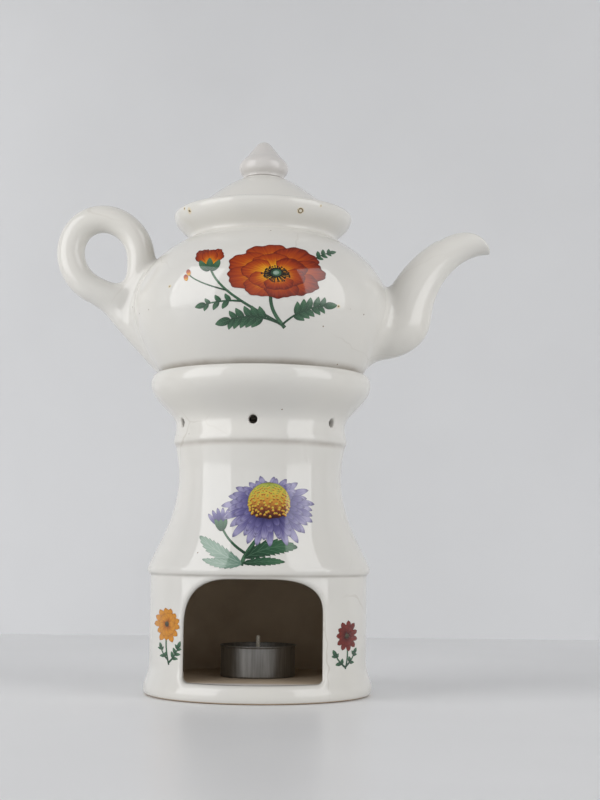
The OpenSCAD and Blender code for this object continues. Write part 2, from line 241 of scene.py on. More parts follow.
stand_h, foot_r, drum_r, ridge_r, ridge_z = 163.0, 58.3, 55.5, 57.2, 62.7
waist_r, waist_z, neck_r, bead_r, bead_z = 42.0, 110.7, 43.8, 44.9, 128.4
cup_r, rim_r, wall, floor_z, floor_t = 57.2, 54.4, 5.0, 8.7, 5.0
neck_z, cup_widest_z = bead_z + 7.8, stand_h - 5
bead_half_w, bead_half_h, bead_turn = 1.0, 2.4, 25
bead_in = np.array([bead_r - bead_half_w, bead_z])
bead_foot = bead_in - (0, bead_half_h)
bead_end = arc(bead_in, bead_half_w, bead_half_h, bead_turn, bead_turn, 1)[0]
seat_z, seat_in_r, seat_t = 142.7, 33.0, 3.6
ridge_end = (drum_r + (ridge_r - drum_r) * math.cos(math.radians(30)), ridge_z + 1.3)

stand_outside = [
    arc((foot_r - 1.8, 3.2), 1.8, 3.2, -90, 0),
    bend([(foot_r, 3.2), (foot_r, 7.7), (drum_r, 9.7), (drum_r, 15.7)]),
    arc((drum_r, ridge_z), ridge_r - drum_r, 2.6, -90, 30),
    bend([ridge_end, (ridge_r - 5.7, ridge_z + 14.5), (waist_r, waist_z - 21), (waist_r, waist_z)], 90),
    bend([(waist_r, waist_z), (waist_r, waist_z + 5), bead_foot - (0.7, 4), bead_foot]),
    arc(bead_in, bead_half_w, bead_half_h, -80, bead_turn),
    bend([bead_end, bead_end + (-0.3, 2), (neck_r, neck_z - 3), (neck_r, neck_z)]),
    bend([(neck_r, neck_z), (neck_r, neck_z + 7), (cup_r, cup_widest_z - 9), (cup_r, cup_widest_z)], 60),
    arc((rim_r, cup_widest_z), cup_r - rim_r, stand_h - cup_widest_z, 10, 90),
]
stand_inside = [
    arc((rim_r, stand_h - 1), 0.6, 1.0, 100, 160),
    bend([(51.9, 160.2), (48.5, 155.2), (45, 150.1), (41.8, 145)]),
    [(40.9, seat_z), (seat_in_r, seat_z), (seat_in_r, seat_z - seat_t), (neck_r - wall, seat_z - seat_t),
     (neck_r - wall, bead_z)],
    bend([(waist_r - wall, waist_z), (waist_r - wall, waist_z - 23), (drum_r - wall - 4.5, ridge_z + 13),
          (drum_r - wall, ridge_z - 3)], 60),
    [(drum_r - wall, floor_z), (0, floor_z)],
]
stand_underside = [[(0, floor_z - floor_t), (foot_r - 8.8, floor_z - floor_t), (foot_r - 8.8, 0)]]
stand_line = melted(stand_underside + stand_outside + stand_inside)
stand_shell = turned_field(stand_line)

door_half_w, door_top_z, door_edge = 33.8, 58.7, 2.6
door_rounds, door_full = {-1: (25.0, 25.0), 1: (26.0, 17.0)}, 2.6
door_sill_r = 2.5


def doorway(p):
    """Distance into the doorway's opening, from all that is outside it, with its direction."""
    x, z = p[:, 0], p[:, 2]
    side = np.where(x < 0, -1.0, 1.0)
    across = np.abs(x)
    half_w = np.where(x < 0, door_rounds[-1][0], door_rounds[1][0])
    half_h = np.where(x < 0, door_rounds[-1][1], door_rounds[1][1])
    u, v = across - (door_half_w - half_w), z - (door_top_z - half_h)
    wide, high = across - door_half_w, z - door_top_z
    far = np.maximum(wide, high)
    gx, gz = np.where(wide > high, side, 0), np.where(wide > high, 0, 1.0)
    top = (u > 0) & (v > 0)
    u, v = np.maximum(u / half_w, 1e-6), np.maximum(v / half_h, 1e-6)
    q = (u ** door_full + v ** door_full) ** (1 / door_full)
    pull_x, pull_z = (u / q) ** (door_full - 1) / half_w, (v / q) ** (door_full - 1) / half_h
    pull = np.hypot(pull_x, pull_z)
    far = np.where(top, (q - 1) / pull, far)
    gx = np.where(top, side * pull_x / pull, gx)
    gz = np.where(top, pull_z / pull, gz)
    u, v = across - (door_half_w - door_sill_r), floor_z + door_sill_r - z
    q = np.maximum(np.hypot(u, v), 1e-9)
    low = (u > 0) & (v > 0)
    below = floor_z - z
    base = ~low & (below > far)
    far = np.where(low, q - door_sill_r, np.where(base, below, far))
    gx = np.where(low, side * u / q, np.where(base, 0, gx))
    gz = np.where(low, -v / q, np.where(base, -1, gz))
    behind = p[:, 1] + 17
    rear = behind > far
    far = np.where(rear, behind, far)
    grow = np.stack([np.where(rear, 0, gx), np.where(rear, 1.0, 0), np.where(rear, 0, gz)], 1)
    return -far, -grow


vent_count, vent_r, vent_z, vent_turn = 6, 2.2, 136.7, math.radians(-91.5)
vent_turns = [vent_turn + i * 2 * math.pi / vent_count for i in range(vent_count)]


def vent(turn):
    """One round vent through the neck, as a field."""
    way = np.array([math.cos(turn), math.sin(turn)])

    def field(p):
        along = p[:, :2] @ way
        flat = p[:, :2] - along[:, None] * way
        off = np.stack([flat[:, 0], flat[:, 1], p[:, 2] - vent_z], 1)
        size = np.maximum(np.linalg.norm(off, axis=1), 1e-9)
        far = np.where(along > 0, size - vent_r, 20)
        return -far, -off / size[:, None]

    return field


vents = [vent(t) for t in vent_turns]


def stand_field(p, shell=None):
    """The stand: its turned shell, less the doorway and the vents."""
    r = np.hypot(p[:, 0], p[:, 1])
    edge = np.where(p[:, 2] < floor_z + 5, door_edge * np.clip((r - 51) / 2.5, 0, 1), door_edge)
    solid = stand_shell(p) if shell is None else (shell, None)
    solid = round_over(solid, doorway(p), edge)
    for cut in vents:
        solid = round_over(solid, cut(p), 1.0)
    return solid


stand_radii = steps((0, 24, 4), (24, 60.5, 0.9))
stand_heights = steps((-1, 11.2, 0.55), (11.2, 57.7, 1.5), (57.7, 66.7, 0.5), (66.7, 122.7, 2.2),
                      (122.7, 132.7, 0.45), (132.7, 144.2, 0.7), (144.2, 155.7, 1.4), (155.7, 165.3, 0.6))
turn_marks = [(t, 0.075, 0.016) for t in vent_turns]
turn_marks += [(-math.pi / 2 + s * math.radians(d), 0.09, 0.018) for s in (-1, 1) for d in (38.5,)]
stand_turns = np.arange(0, 2 * math.pi - 0.02, math.radians(2.0))
for middle, reach, step in turn_marks:
    middle = middle % (2 * math.pi)
    off = np.abs((stand_turns - middle + math.pi) % (2 * math.pi) - math.pi)
    fine = (middle + np.arange(-reach, reach, step)) % (2 * math.pi)
    stand_turns = np.sort(np.concatenate([stand_turns[off > reach + step / 2], fine]))


def node(tree, kind, link=None, **values):
    """A shader node with its settings, its inputs by name, and links from other sockets."""
    made = tree.nodes.new(kind)
    for key, value in values.items():
        if hasattr(made, key):
            setattr(made, key, value)
        else:
            made.inputs[key.replace("_", " ")].default_value = value
    for key, socket in (link or {}).items():
        tree.links.new(socket, made.inputs[key])
    return made


def ramp(tree, socket, *stops):
    """A colour ramp on a value, with stops of (place, colour)."""
    made = node(tree, "ShaderNodeValToRGB", {"Fac": socket})
    line = made.color_ramp
    while len(line.elements) < len(stops):
        line.elements.new(0.5)
    for element, (place, colour) in zip(line.elements, stops):
        element.position = place
        element.color = (*colour, 1) if len(colour) == 3 else colour
    return made.outputs["Color"]


def blend_colour(tree, share, low, high):
    """A mix of two colours, each a socket or a colour."""
    made = node(tree, "ShaderNodeMix", data_type="RGBA")
    for socket, value in ((made.inputs[0], share), (made.inputs[6], low), (made.inputs[7], high)):
        if isinstance(value, bpy.types.NodeSocket):
            tree.links.new(value, socket)
        else:
            socket.default_value = (*value, 1) if isinstance(value, tuple) else value
    return made.outputs[2]


def sums(tree, operation, a, b):
    """Arithmetic on two values, each a socket or a number."""
    made = node(tree, "ShaderNodeMath", operation=operation)
    for socket, value in zip(made.inputs, (a, b)):
        if isinstance(value, bpy.types.NodeSocket):
            tree.links.new(value, socket)
        else:
            socket.default_value = value
    return made.outputs[0]


def group(name, outputs, **inputs):
    """An empty shader group with number inputs at their first values."""
    tree = bpy.data.node_groups.new(name, "ShaderNodeTree")
    for key, value in inputs.items():
        tree.interface.new_socket(key, in_out="INPUT", socket_type="NodeSocketFloat").default_value = value
    for key, kind in outputs.items():
        tree.interface.new_socket(key, in_out="OUTPUT", socket_type=kind)
    return tree, tree.nodes.new("NodeGroupInput").outputs, tree.nodes.new("NodeGroupOutput").inputs


# Fine cracks in the glaze, only here and there, and the wander of their lines
crazing, given, put = group("crazing", {"Mask": "NodeSocketFloat"}, Scale=15.0, Width=0.006, Spread=0.5)
where = node(crazing, "ShaderNodeTexCoord").outputs["Object"]
wander = node(crazing, "ShaderNodeTexNoise", {"Vector": where}, Scale=55.0, Detail=2.0).outputs["Color"]
moved = node(crazing, "ShaderNodeVectorMath", {0: wander}, operation="SCALE")
moved.inputs["Scale"].default_value = 0.012
path = node(crazing, "ShaderNodeVectorMath", {0: where, 1: moved.outputs[0]}, operation="ADD").outputs[0]
crack = node(crazing, "ShaderNodeTexVoronoi", {"Vector": path, "Scale": given["Scale"]}, feature="DISTANCE_TO_EDGE")
thin = sums(crazing, "LESS_THAN", crack.outputs["Distance"], given["Width"])
patch = node(crazing, "ShaderNodeTexNoise", {"Vector": where}, Scale=16.0, Detail=1.0).outputs["Fac"]
some = node(crazing, "ShaderNodeMapRange", {"Value": patch, "From Min": given["Spread"]})
some.inputs["From Max"].default_value = 0.7
crazing.links.new(sums(crazing, "MULTIPLY", thin, some.outputs[0]), put["Mask"])

# Pinholes and iron specks that the kiln left in the glaze
specks, given, put = group("kiln_specks", {"Mask": "NodeSocketFloat"}, Scale=150.0, Size=0.06, Share=0.9)
where = node(specks, "ShaderNodeTexCoord").outputs["Object"]
dots = node(specks, "ShaderNodeTexVoronoi", {"Vector": where, "Scale": given["Scale"]})
near = sums(specks, "LESS_THAN", dots.outputs["Distance"], given["Size"])
pick = node(specks, "ShaderNodeSeparateColor", {"Color": dots.outputs["Color"]}).outputs["Red"]
few = sums(specks, "GREATER_THAN", pick, given["Share"])
specks.links.new(sums(specks, "MULTIPLY", near, few), put["Mask"])

# Brown-grey grime with painted shade, in a crease at one height, broken up along its length
dirt_and_shade, given, put = group("crease_dirt_and_shade", {"Mask": "NodeSocketFloat"}, Height=0.0, Reach=0.001)
where = node(dirt_and_shade, "ShaderNodeTexCoord").outputs["Object"]
level = node(dirt_and_shade, "ShaderNodeSeparateXYZ", {"Vector": where}).outputs["Z"]
away = sums(dirt_and_shade, "ABSOLUTE", sums(dirt_and_shade, "SUBTRACT", level, given["Height"]), 0.0)
close = node(dirt_and_shade, "ShaderNodeMapRange", {"Value": away, "From Min": given["Reach"]}, interpolation_type="SMOOTHSTEP")
close.inputs["From Max"].default_value = 0.0
broken = node(dirt_and_shade, "ShaderNodeTexNoise", {"Vector": where}, Scale=70.0, Detail=3.0).outputs["Fac"]
dirt_and_shade.links.new(sums(dirt_and_shade, "MULTIPLY", close.outputs[0], broken), put["Mask"])

# Slow drift of the glaze from creamy to cool where it lies thick or thin, and its slight waves
drift, given, put = group("glaze_drift", {"Fac": "NodeSocketFloat", "Waves": "NodeSocketFloat"}, Scale=14.0)
where = node(drift, "ShaderNodeTexCoord").outputs["Object"]
slow = node(drift, "ShaderNodeTexNoise", {"Vector": where, "Scale": given["Scale"]}, Detail=2.0)
quick = node(drift, "ShaderNodeTexNoise", {"Vector": where}, Scale=90.0, Detail=1.0)
drift.links.new(slow.outputs["Fac"], put["Fac"])
drift.links.new(quick.outputs["Fac"], put["Waves"])

# A chip or pit at one place, or a flake that only broke along a ring: how far it goes, and the stain around it
chip, given, put = group("glaze_chip", {"Mask": "NodeSocketFloat", "Stain": "NodeSocketFloat"},
                         X=0.0, Y=0.0, Z=0.0, Size=0.001, Ring=0.0)
where = node(chip, "ShaderNodeTexCoord").outputs["Object"]
middle = node(chip, "ShaderNodeCombineXYZ", {"X": given["X"], "Y": given["Y"], "Z": given["Z"]}).outputs[0]
away = node(chip, "ShaderNodeVectorMath", {0: where, 1: middle}, operation="DISTANCE").outputs["Value"]
ragged = node(chip, "ShaderNodeTexNoise", {"Vector": where}, Scale=900.0, Detail=2.0).outputs["Fac"]
from_ring = sums(chip, "ABSOLUTE", sums(chip, "SUBTRACT", away, given["Ring"]), 0.0)
share = sums(chip, "DIVIDE", from_ring, given["Size"])
share = sums(chip, "ADD", share, sums(chip, "MULTIPLY", sums(chip, "SUBTRACT", ragged, 0.5), 2.2))
for key, reach in (("Mask", 1.0), ("Stain", 2.2)):
    fade = node(chip, "ShaderNodeMapRange", {"Value": share}, interpolation_type="SMOOTHSTEP")
    fade.inputs["From Min"].default_value = reach
    fade.inputs["From Max"].default_value = 0.6 * reach
    chip.links.new(fade.outputs[0], put[key])

glaze_cream, glaze_cool, glaze_deep_tone = (0.70, 0.68, 0.63), (0.66, 0.65, 0.62), (0.50, 0.47, 0.47)
# The third colour on the next line darkens the creases: grime with painted shade.
crack_grey, speck_brown, dirt_and_shade_grey = (0.46, 0.42, 0.36), (0.16, 0.09, 0.045), (0.27, 0.22, 0.17)
chip_clay, chip_stain = (0.15, 0.11, 0.06), (0.70, 0.59, 0.38)


def placed(tree, shared, **values):
    """A shared group in a material, with its own values."""
    made = tree.nodes.new("ShaderNodeGroup")
    made.node_tree = shared
    for key, value in values.items():
        made.inputs[key].default_value = value
    return made.outputs


def glaze(name, creases=(), craze=0.45, speck=0.8, chips=(), deep_tone=0.0):
    """Clear glossy glaze over off-white clay, with cracks, specks, chips, and grime with painted shade in its creases.
    """
    made = bpy.data.materials.new(name)
    made.use_nodes = True
    tree = made.node_tree
    coat = tree.nodes["Principled BSDF"]
    soft = placed(tree, drift)
    colour = ramp(tree, soft["Fac"], (0.3, glaze_cool), (0.7, glaze_cream))
    colour = blend_colour(tree, deep_tone, colour, glaze_deep_tone)
    cracks = placed(tree, crazing)["Mask"]
    colour = blend_colour(tree, sums(tree, "MULTIPLY", cracks, craze), colour, crack_grey)
    # Each crease is darkened with grime and painted shade.
    for height, reach, share in creases:
        mask = placed(tree, dirt_and_shade, Height=height * MM, Reach=reach * MM)["Mask"]
        colour = blend_colour(tree, sums(tree, "MULTIPLY", mask, share), colour, dirt_and_shade_grey)
    dots = placed(tree, specks)["Mask"]
    colour = blend_colour(tree, sums(tree, "MULTIPLY", dots, speck), colour, speck_brown)
    for x, y, z, size, ring in chips:
        hole = placed(tree, chip, X=x * MM, Y=y * MM, Z=z * MM, Size=size * MM, Ring=ring * MM)
        colour = blend_colour(tree, sums(tree, "MULTIPLY", hole["Stain"], 0.75), colour, chip_stain)
        colour = blend_colour(tree, hole["Mask"], colour, chip_clay)
    tree.links.new(colour, coat.inputs["Base Color"])
    coat.inputs["Roughness"].default_value = 0.06
    coat.inputs["IOR"].default_value = 1.52
    ripple = node(tree, "ShaderNodeBump", {"Height": soft["Waves"]}, Strength=0.05, Distance=0.0006)
    tree.links.new(ripple.outputs["Normal"], coat.inputs["Normal"])
    return made, tree, coat, colour


# Painted shade, with some grime, darkens the groove under the bead, the crease under the ridge and the rim where the
# pot sits.
stand_glaze, tree, coat, colour = glaze(
    "stand_glaze", [(125.7, 2.4, 0.6), (60.3, 1.2, 0.5), (163.3, 1.0, 0.5)])

# The ring under the foot is bare tan clay
where = node(tree, "ShaderNodeTexCoord").outputs["Object"]
level = node(tree, "ShaderNodeSeparateXYZ", {"Vector": where}).outputs["Z"]
bare_clay = (0.42, 0.30, 0.19)
under = node(tree, "ShaderNodeMapRange", {"Value": level})
under.inputs["From Min"].default_value = 1.0 * MM
under.inputs["From Max"].default_value = 0.4 * MM
tree.links.new(blend_colour(tree, under.outputs[0], colour, bare_clay), coat.inputs["Base Color"])

# The lamp chamber is coloured a dull brown, paler on the floor towards the doorway
lamp_chamber_coat = bpy.data.materials.new("lamp_chamber_coat")
lamp_chamber_coat.use_nodes = True
tree = lamp_chamber_coat.node_tree
chamber_coat = tree.nodes["Principled BSDF"]
where = node(tree, "ShaderNodeTexCoord").outputs["Object"]
spot = node(tree, "ShaderNodeSeparateXYZ", {"Vector": where}).outputs
cloud = node(tree, "ShaderNodeTexNoise", {"Vector": where}, Scale=45.0, Detail=4.0).outputs["Fac"]
colour = ramp(tree, cloud, (0.3, (0.41, 0.325, 0.235)), (0.7, (0.52, 0.425, 0.315)))
near_doorway = node(tree, "ShaderNodeMapRange", {"Value": spot["Y"]}, interpolation_type="SMOOTHSTEP")
near_doorway.inputs["From Min"].default_value = -38 * MM
near_doorway.inputs["From Max"].default_value = -50 * MM
low = node(tree, "ShaderNodeMapRange", {"Value": spot["Z"]}, interpolation_type="SMOOTHSTEP")
low.inputs["From Min"].default_value = (floor_z + 3) * MM
low.inputs["From Max"].default_value = (floor_z + 0.5) * MM
colour = blend_colour(tree, sums(tree, "MULTIPLY", near_doorway.outputs[0], low.outputs[0]), colour, (0.57, 0.54, 0.52))
tree.links.new(colour, chamber_coat.inputs["Base Color"])
chamber_coat.inputs["Roughness"].default_value = 0.95
chamber_coat.inputs["Specular IOR Level"].default_value = 0.1

stand = turned_skin(stand_field, stand_radii, stand_turns, stand_heights, stand_shell)
piece = add_piece("warmer_stand_glazed", *stand, stand_glaze, "stand", "glazed_earthenware", "warmer_stand")
piece.data.materials.append(lamp_chamber_coat)
for face in piece.data.polygons:
    x, y, z = face.center / MM
    face.material_index = int(math.hypot(x, y) < drum_r - wall + 0.6 and floor_z - 0.3 < z < ridge_z + 3)


# CONEFLOWER TRANSFER
# A flower printed in ceramic inks on a thin film, slid wet onto the front of the bell and fired into the glaze.
# It is drawn in millimetres across the front and above the table, and lies on the stand's outside.

print_turn = math.radians(3.6)
film, film_step = 0.04, 0.004


def ribbon(middle, half_w, sweep=0.0):
    """Points of a strip of changing width along a line, its edges swept forward, with their shares across and along."""
    lean = np.gradient(middle, axis=0)
    lean = lean / np.linalg.norm(lean, axis=1)[:, None]
    side = np.stack([-lean[:, 1], lean[:, 0]], 1)
    v = np.linspace(-1, 1, 2 * int(half_w.max() / 0.8) + 3)
    points = middle[:, None] + (half_w[:, None] * v)[..., None] * side[:, None]
    points = points + (sweep * half_w[:, None] * np.abs(v))[..., None] * lean[:, None]
    return points, np.stack(np.broadcast_arrays(v[None], np.linspace(0, 1, len(middle))[:, None]), 2)


def bowed(base, tip, bow, rows):
    """Points from base to tip along a line that bows to its left, and their shares along it."""
    base, along = np.array(base, float), np.subtract(tip, base)
    u = np.linspace(0, 1, rows)
    side = np.array([-along[1], along[0]]) / np.linalg.norm(along)
    return base + u[:, None] * along + (4 * bow * u * (1 - u))[:, None] * side, u


def blade(base, tip, half_w, bow=0.0, low=0.6, high=0.9, rows=20):
    """A pointed shape from base to tip, widest where low and high put it: a leaflet, a narrow petal or a bud."""
    middle, u = bowed(base, tip, bow, rows)
    width = u ** low * (1 - u) ** high
    return ribbon(middle, half_w * np.maximum(width / width.max(), 0.03))


def stalk(path, start_w, end_w, rows=18):
    """A stem along a curve."""
    return ribbon(bend(path, rows), np.linspace(start_w, end_w, rows))


def toothed(base, tip, half_w, bow=0.0, teeth=7, steps_a_tooth=8):
    """A leaf with teeth that point forward along both its edges."""
    middle, u = bowed(base, tip, bow, teeth * steps_a_tooth + 1)
    width = u ** 0.55 * (1 - u) ** 0.75
    bite = (np.arange(len(u)) % steps_a_tooth) / (steps_a_tooth - 1)
    width = width / width.max() * (0.76 + 0.24 * bite)
    return ribbon(middle, half_w * np.maximum(width, 0.03), 0.55)


def pinnate(base, tip, pairs, reach, half_w, bow=0.0, spread=50):
    """A leaf of leaflets in pairs along a rib, with one at its tip."""
    middle, u = bowed(base, tip, bow, 41)
    lean = np.gradient(middle, axis=0)
    lean = lean / np.linalg.norm(lean, axis=1)[:, None]
    shapes = [ribbon(middle, np.linspace(0.5, 0.3, len(u)))]
    for at in np.linspace(0.3, 0.84, pairs):
        k = int(at * 40)
        for s in (-1, 1):
            c, d = math.cos(math.radians(spread)), s * math.sin(math.radians(spread))
            aim = np.array([lean[k, 0] * c - lean[k, 1] * d, lean[k, 0] * d + lean[k, 1] * c])
            size = 1 - 0.9 * (at - 0.5) ** 2 - 0.18 * at + 0.04 * s
            shapes.append(blade(middle[k + s], middle[k + s] + reach * size * aim, half_w * size,
                                -s * 0.08 * reach, 0.6, 0.8))
    return shapes + [blade(middle[37], middle[37] + 1.05 * reach * lean[37], half_w, 0.0, 0.6, 0.8)]


def fan(base, aim, reach, spread, ruffle=0.03, phase=0.0, squash=1.0, neck=0.6, rows=30, columns=41):
    """A broad petal with a ruffled edge, opening from its base. Its angles are in degrees, its height is squashed."""
    u = np.linspace(0, 1, rows)[:, None]
    v = np.linspace(-1, 1, columns)[None]
    opened = neck + (1 - neck) * np.sin(np.minimum(u, 0.8) * math.pi / 1.6)
    turn = math.radians(aim) + math.radians(spread) * v * opened
    edge = 1 - 0.3 * np.abs(v) ** 2.6 + ruffle * (np.sin(7 * v + phase) + 0.5 * np.sin(17 * v + 2.3 * phase))
    far = reach * edge * np.maximum(u, 0.02)
    points = np.stack([base[0] + far * np.cos(turn), base[1] + squash * far * np.sin(turn)], 2)
    return points, np.stack(np.broadcast_arrays(v, u), 2)


def inked(ink, tone, *shapes):
    """Shapes that are printed in one ink and one tone of it."""
    return [(ink, tone, shape) for shape in shapes]


def transfer(name, prints, inks, line, low, high, body):
    """A printed sheet on the front of an outline between two heights. Each print lies over those it meets."""
    lean = facing(line)
    front = (lean[:, 0] > 0.2) & (line[:, 1] > low) & (line[:, 1] < high)
    order = np.argsort(line[front, 1])
    level, reach, lean = line[front][order, 1], line[front][order, 0], lean[front][order]
    places, aims, shares, tones, used, faces, laid = [], [], [], [], [], [], []
    for ink, tone, (points, share) in prints:
        least, most = points.min((0, 1)), points.max((0, 1))
        layer = 1 + max((n for n, a, b in laid if (least < b).all() and (a < most).all()), default=0)
        laid.append((layer, least, most))
        start = sum(len(p) for p in places)
        rows, columns = points.shape[:2]
        x, z = points.reshape(-1, 2).T
        r = np.interp(z, level, reach)
        turn = np.arcsin(np.clip(x / r, -1, 1)) + print_turn - math.pi / 2
        out, up = np.interp(z, level, lean[:, 0]), np.interp(z, level, lean[:, 1])
        aim = np.stack([out * np.cos(turn), out * np.sin(turn), up], 1)
        places.append(np.stack([r * np.cos(turn), r * np.sin(turn), z], 1) + (film + film_step * layer) * aim)
        aims.append(aim)
        shares.append(share.reshape(-1, 2))
        tones.append(np.full(len(x), tone))
        used.append(np.full(len(x), inks.index(ink)))
        k = start + np.arange(rows * columns).reshape(rows, columns)
        cells = np.stack([k[:-1, :-1], k[:-1, 1:], k[1:, 1:], k[1:, :-1]], -1).reshape(-1, 4)
        a, b, c = (points.reshape(-1, 2)[cells[:, i] - start] for i in (0, 1, 2))
        turned = (b - a)[:, 0] * (c - a)[:, 1] - (b - a)[:, 1] * (c - a)[:, 0] < 0
        faces.append(np.where(turned[:, None], cells[:, ::-1], cells))
    piece = add_piece(name, np.concatenate(places), np.concatenate(faces), np.concatenate(aims), inks[0], body,
                      "glazed_earthenware")
    mesh = piece.data
    for ink in inks[1:]:
        mesh.materials.append(ink)
    corner = np.empty(len(mesh.loops), int)
    mesh.loops.foreach_get("vertex_index", corner)
    mesh.uv_layers.new(name="print").data.foreach_set("uv", np.concatenate(shares)[corner].ravel())
    mesh.attributes.new("tone", "FLOAT", "POINT").data.foreach_set("value", np.concatenate(tones))
    first = np.empty(len(mesh.polygons), int)
    mesh.polygons.foreach_get("loop_start", first)
    mesh.polygons.foreach_set("material_index", np.concatenate(used)[corner[first]])
    return piece


# How an ink runs along a shape with the drag of its streaks, its outline, and the veins of a leaf
ink_run, given, put = group(
    "ink_run", {"Run": "NodeSocketFloat", "Outline": "NodeSocketFloat", "Veins": "NodeSocketFloat"},
    Streaks=10.0, Drag=0.3, Edge=0.08, Ribs=6.0)
print_place = node(ink_run, "ShaderNodeUVMap", uv_map="print").outputs[0]
spot = node(ink_run, "ShaderNodeSeparateXYZ", {"Vector": print_place}).outputs
tone = node(ink_run, "ShaderNodeAttribute", attribute_name="tone").outputs["Fac"]
across = sums(ink_run, "ABSOLUTE", spot["X"], 0.0)
grain_at = node(ink_run, "ShaderNodeCombineXYZ", {
    "X": sums(ink_run, "MULTIPLY", spot["X"], given["Streaks"]), "Y": sums(ink_run, "MULTIPLY", spot["Y"], 1.5),
    "Z": sums(ink_run, "MULTIPLY", tone, 40.0)}).outputs[0]
grain = node(ink_run, "ShaderNodeTexNoise", {"Vector": grain_at}, Scale=1.0, Detail=3.0).outputs["Fac"]
drag = sums(ink_run, "MULTIPLY", sums(ink_run, "SUBTRACT", grain, 0.5), given["Drag"])
shade = sums(ink_run, "MULTIPLY", sums(ink_run, "SUBTRACT", tone, 0.5), 0.5)
ink_run.links.new(sums(ink_run, "ADD", sums(ink_run, "ADD", spot["Y"], drag), shade), put["Run"])
to_edge = sums(ink_run, "MINIMUM", sums(ink_run, "SUBTRACT", 1.0, across), sums(ink_run, "SUBTRACT", 1.0, spot["Y"]))
outline = node(ink_run, "ShaderNodeMapRange", {"Value": to_edge, "From Min": given["Edge"]})
outline.inputs["From Max"].default_value = 0.0
ink_run.links.new(outline.outputs[0], put["Outline"])
rib = sums(ink_run, "SUBTRACT", sums(ink_run, "MULTIPLY", spot["Y"], given["Ribs"]),
           sums(ink_run, "MULTIPLY", across, 1.3))
rib = sums(ink_run, "ABSOLUTE", sums(ink_run, "SUBTRACT", sums(ink_run, "FRACT", rib, 0.0), 0.5), 0.0)
nearest_rib = sums(ink_run, "MINIMUM", rib, sums(ink_run, "MULTIPLY", across, 1.2))
vein = node(ink_run, "ShaderNodeMapRange", {"Value": nearest_rib})
vein.inputs["From Min"].default_value = 0.12
vein.inputs["From Max"].default_value = 0.0
ink_run.links.new(vein.outputs[0], put["Veins"])


def ink(name, stops, edge, streaks=10.0, drag=0.3, edge_w=0.08, veins=None):
    """A fired ink under the gloss: its colours from base to tip, its outline, and the colour of its veins."""
    made = bpy.data.materials.new(name)
    made.use_nodes = True
    tree = made.node_tree
    print_coat = tree.nodes["Principled BSDF"]
    run = placed(tree, ink_run, Streaks=streaks, Drag=drag, Edge=edge_w)
    colour = ramp(tree, run["Run"], *stops)
    if veins:
        colour = blend_colour(tree, sums(tree, "MULTIPLY", run["Veins"], 0.55), colour, veins)
    colour = blend_colour(tree, sums(tree, "MULTIPLY", run["Outline"], 0.8), colour, edge)
    tree.links.new(colour, print_coat.inputs["Base Color"])
    print_coat.inputs["Roughness"].default_value = 0.07
    print_coat.inputs["IOR"].default_value = 1.52
    return made


violet = ink("violet_ink", [(0.0, (0.022, 0.017, 0.065)), (0.35, (0.055, 0.048, 0.150)), (0.7, (0.13, 0.115, 0.27)),
                            (1.0, (0.32, 0.30, 0.46))], (0.045, 0.038, 0.11), 5, 0.45, 0.13)
cone_ink = ink("cone_ink", [(0.0, (0.035, 0.008, 0.006)), (0.18, (0.16, 0.035, 0.012)), (0.4, (0.52, 0.22, 0.03)),
                            (0.66, (0.58, 0.44, 0.05)), (0.86, (0.34, 0.38, 0.06)), (1.0, (0.16, 0.24, 0.04))],
               (0.12, 0.10, 0.03), 12, 0.3, 0.06)
leaf = ink("leaf_ink", [(0.0, (0.014, 0.040, 0.022)), (0.5, (0.030, 0.090, 0.046)), (1.0, (0.070, 0.160, 0.085))],
           (0.010, 0.030, 0.018), 6, 0.5, 0.1, (0.10, 0.20, 0.12))
pale_leaf = ink("pale_leaf_ink", [(0.0, (0.10, 0.19, 0.14)), (0.5, (0.25, 0.35, 0.28)), (1.0, (0.20, 0.30, 0.23))],
                (0.08, 0.14, 0.10), 6, 0.4, 0.08, (0.42, 0.50, 0.44))

draw = np.random.default_rng(7)
cone = np.array([4.5, 94.2])
coneflower = inked(leaf, 0.4, stalk([(3.6, 87.7), (2.6, 79.7), (-6.0, 74.7), (-8.6, 65.3)], 0.8, 1.0),
                   stalk([(-6.6, 71.1), (-12.0, 74.3), (-16.0, 78.3), (-18.6, 84.3)], 0.7, 0.5))
coneflower += inked(pale_leaf, 0.5, toothed((-8.4, 66.7), (-29.0, 79.3), 3.8, 1.6, 9),
                    toothed((-8.2, 66.1), (-27.4, 68.1), 2.4, 1.0, 8))
coneflower += inked(leaf, 0.45, toothed((-7.2, 68.7), (18.4, 74.1), 4.2, 2.4, 10),
                    toothed((-8.0, 66.3), (12.4, 67.1), 2.2, 0.6, 8))
for shift in (-24, 24, -12, 12, 0):
    way = np.radians(104 + 1.5 * shift)
    coneflower += inked(violet, draw.uniform(0.4, 0.8), blade(
        (-18.6, 83.7), np.array([-18.6, 84.7]) + 8.6 * np.array([math.cos(way), math.sin(way)]),
        1.1, 0.02 * shift, 0.8, 0.6))
coneflower += inked(leaf, 0.7, *[blade((-18.4, 81.7), (x, 87.5), 1.3, 0.0, 0.5, 0.6) for x in (-21.8, -16.0, -18.9)])
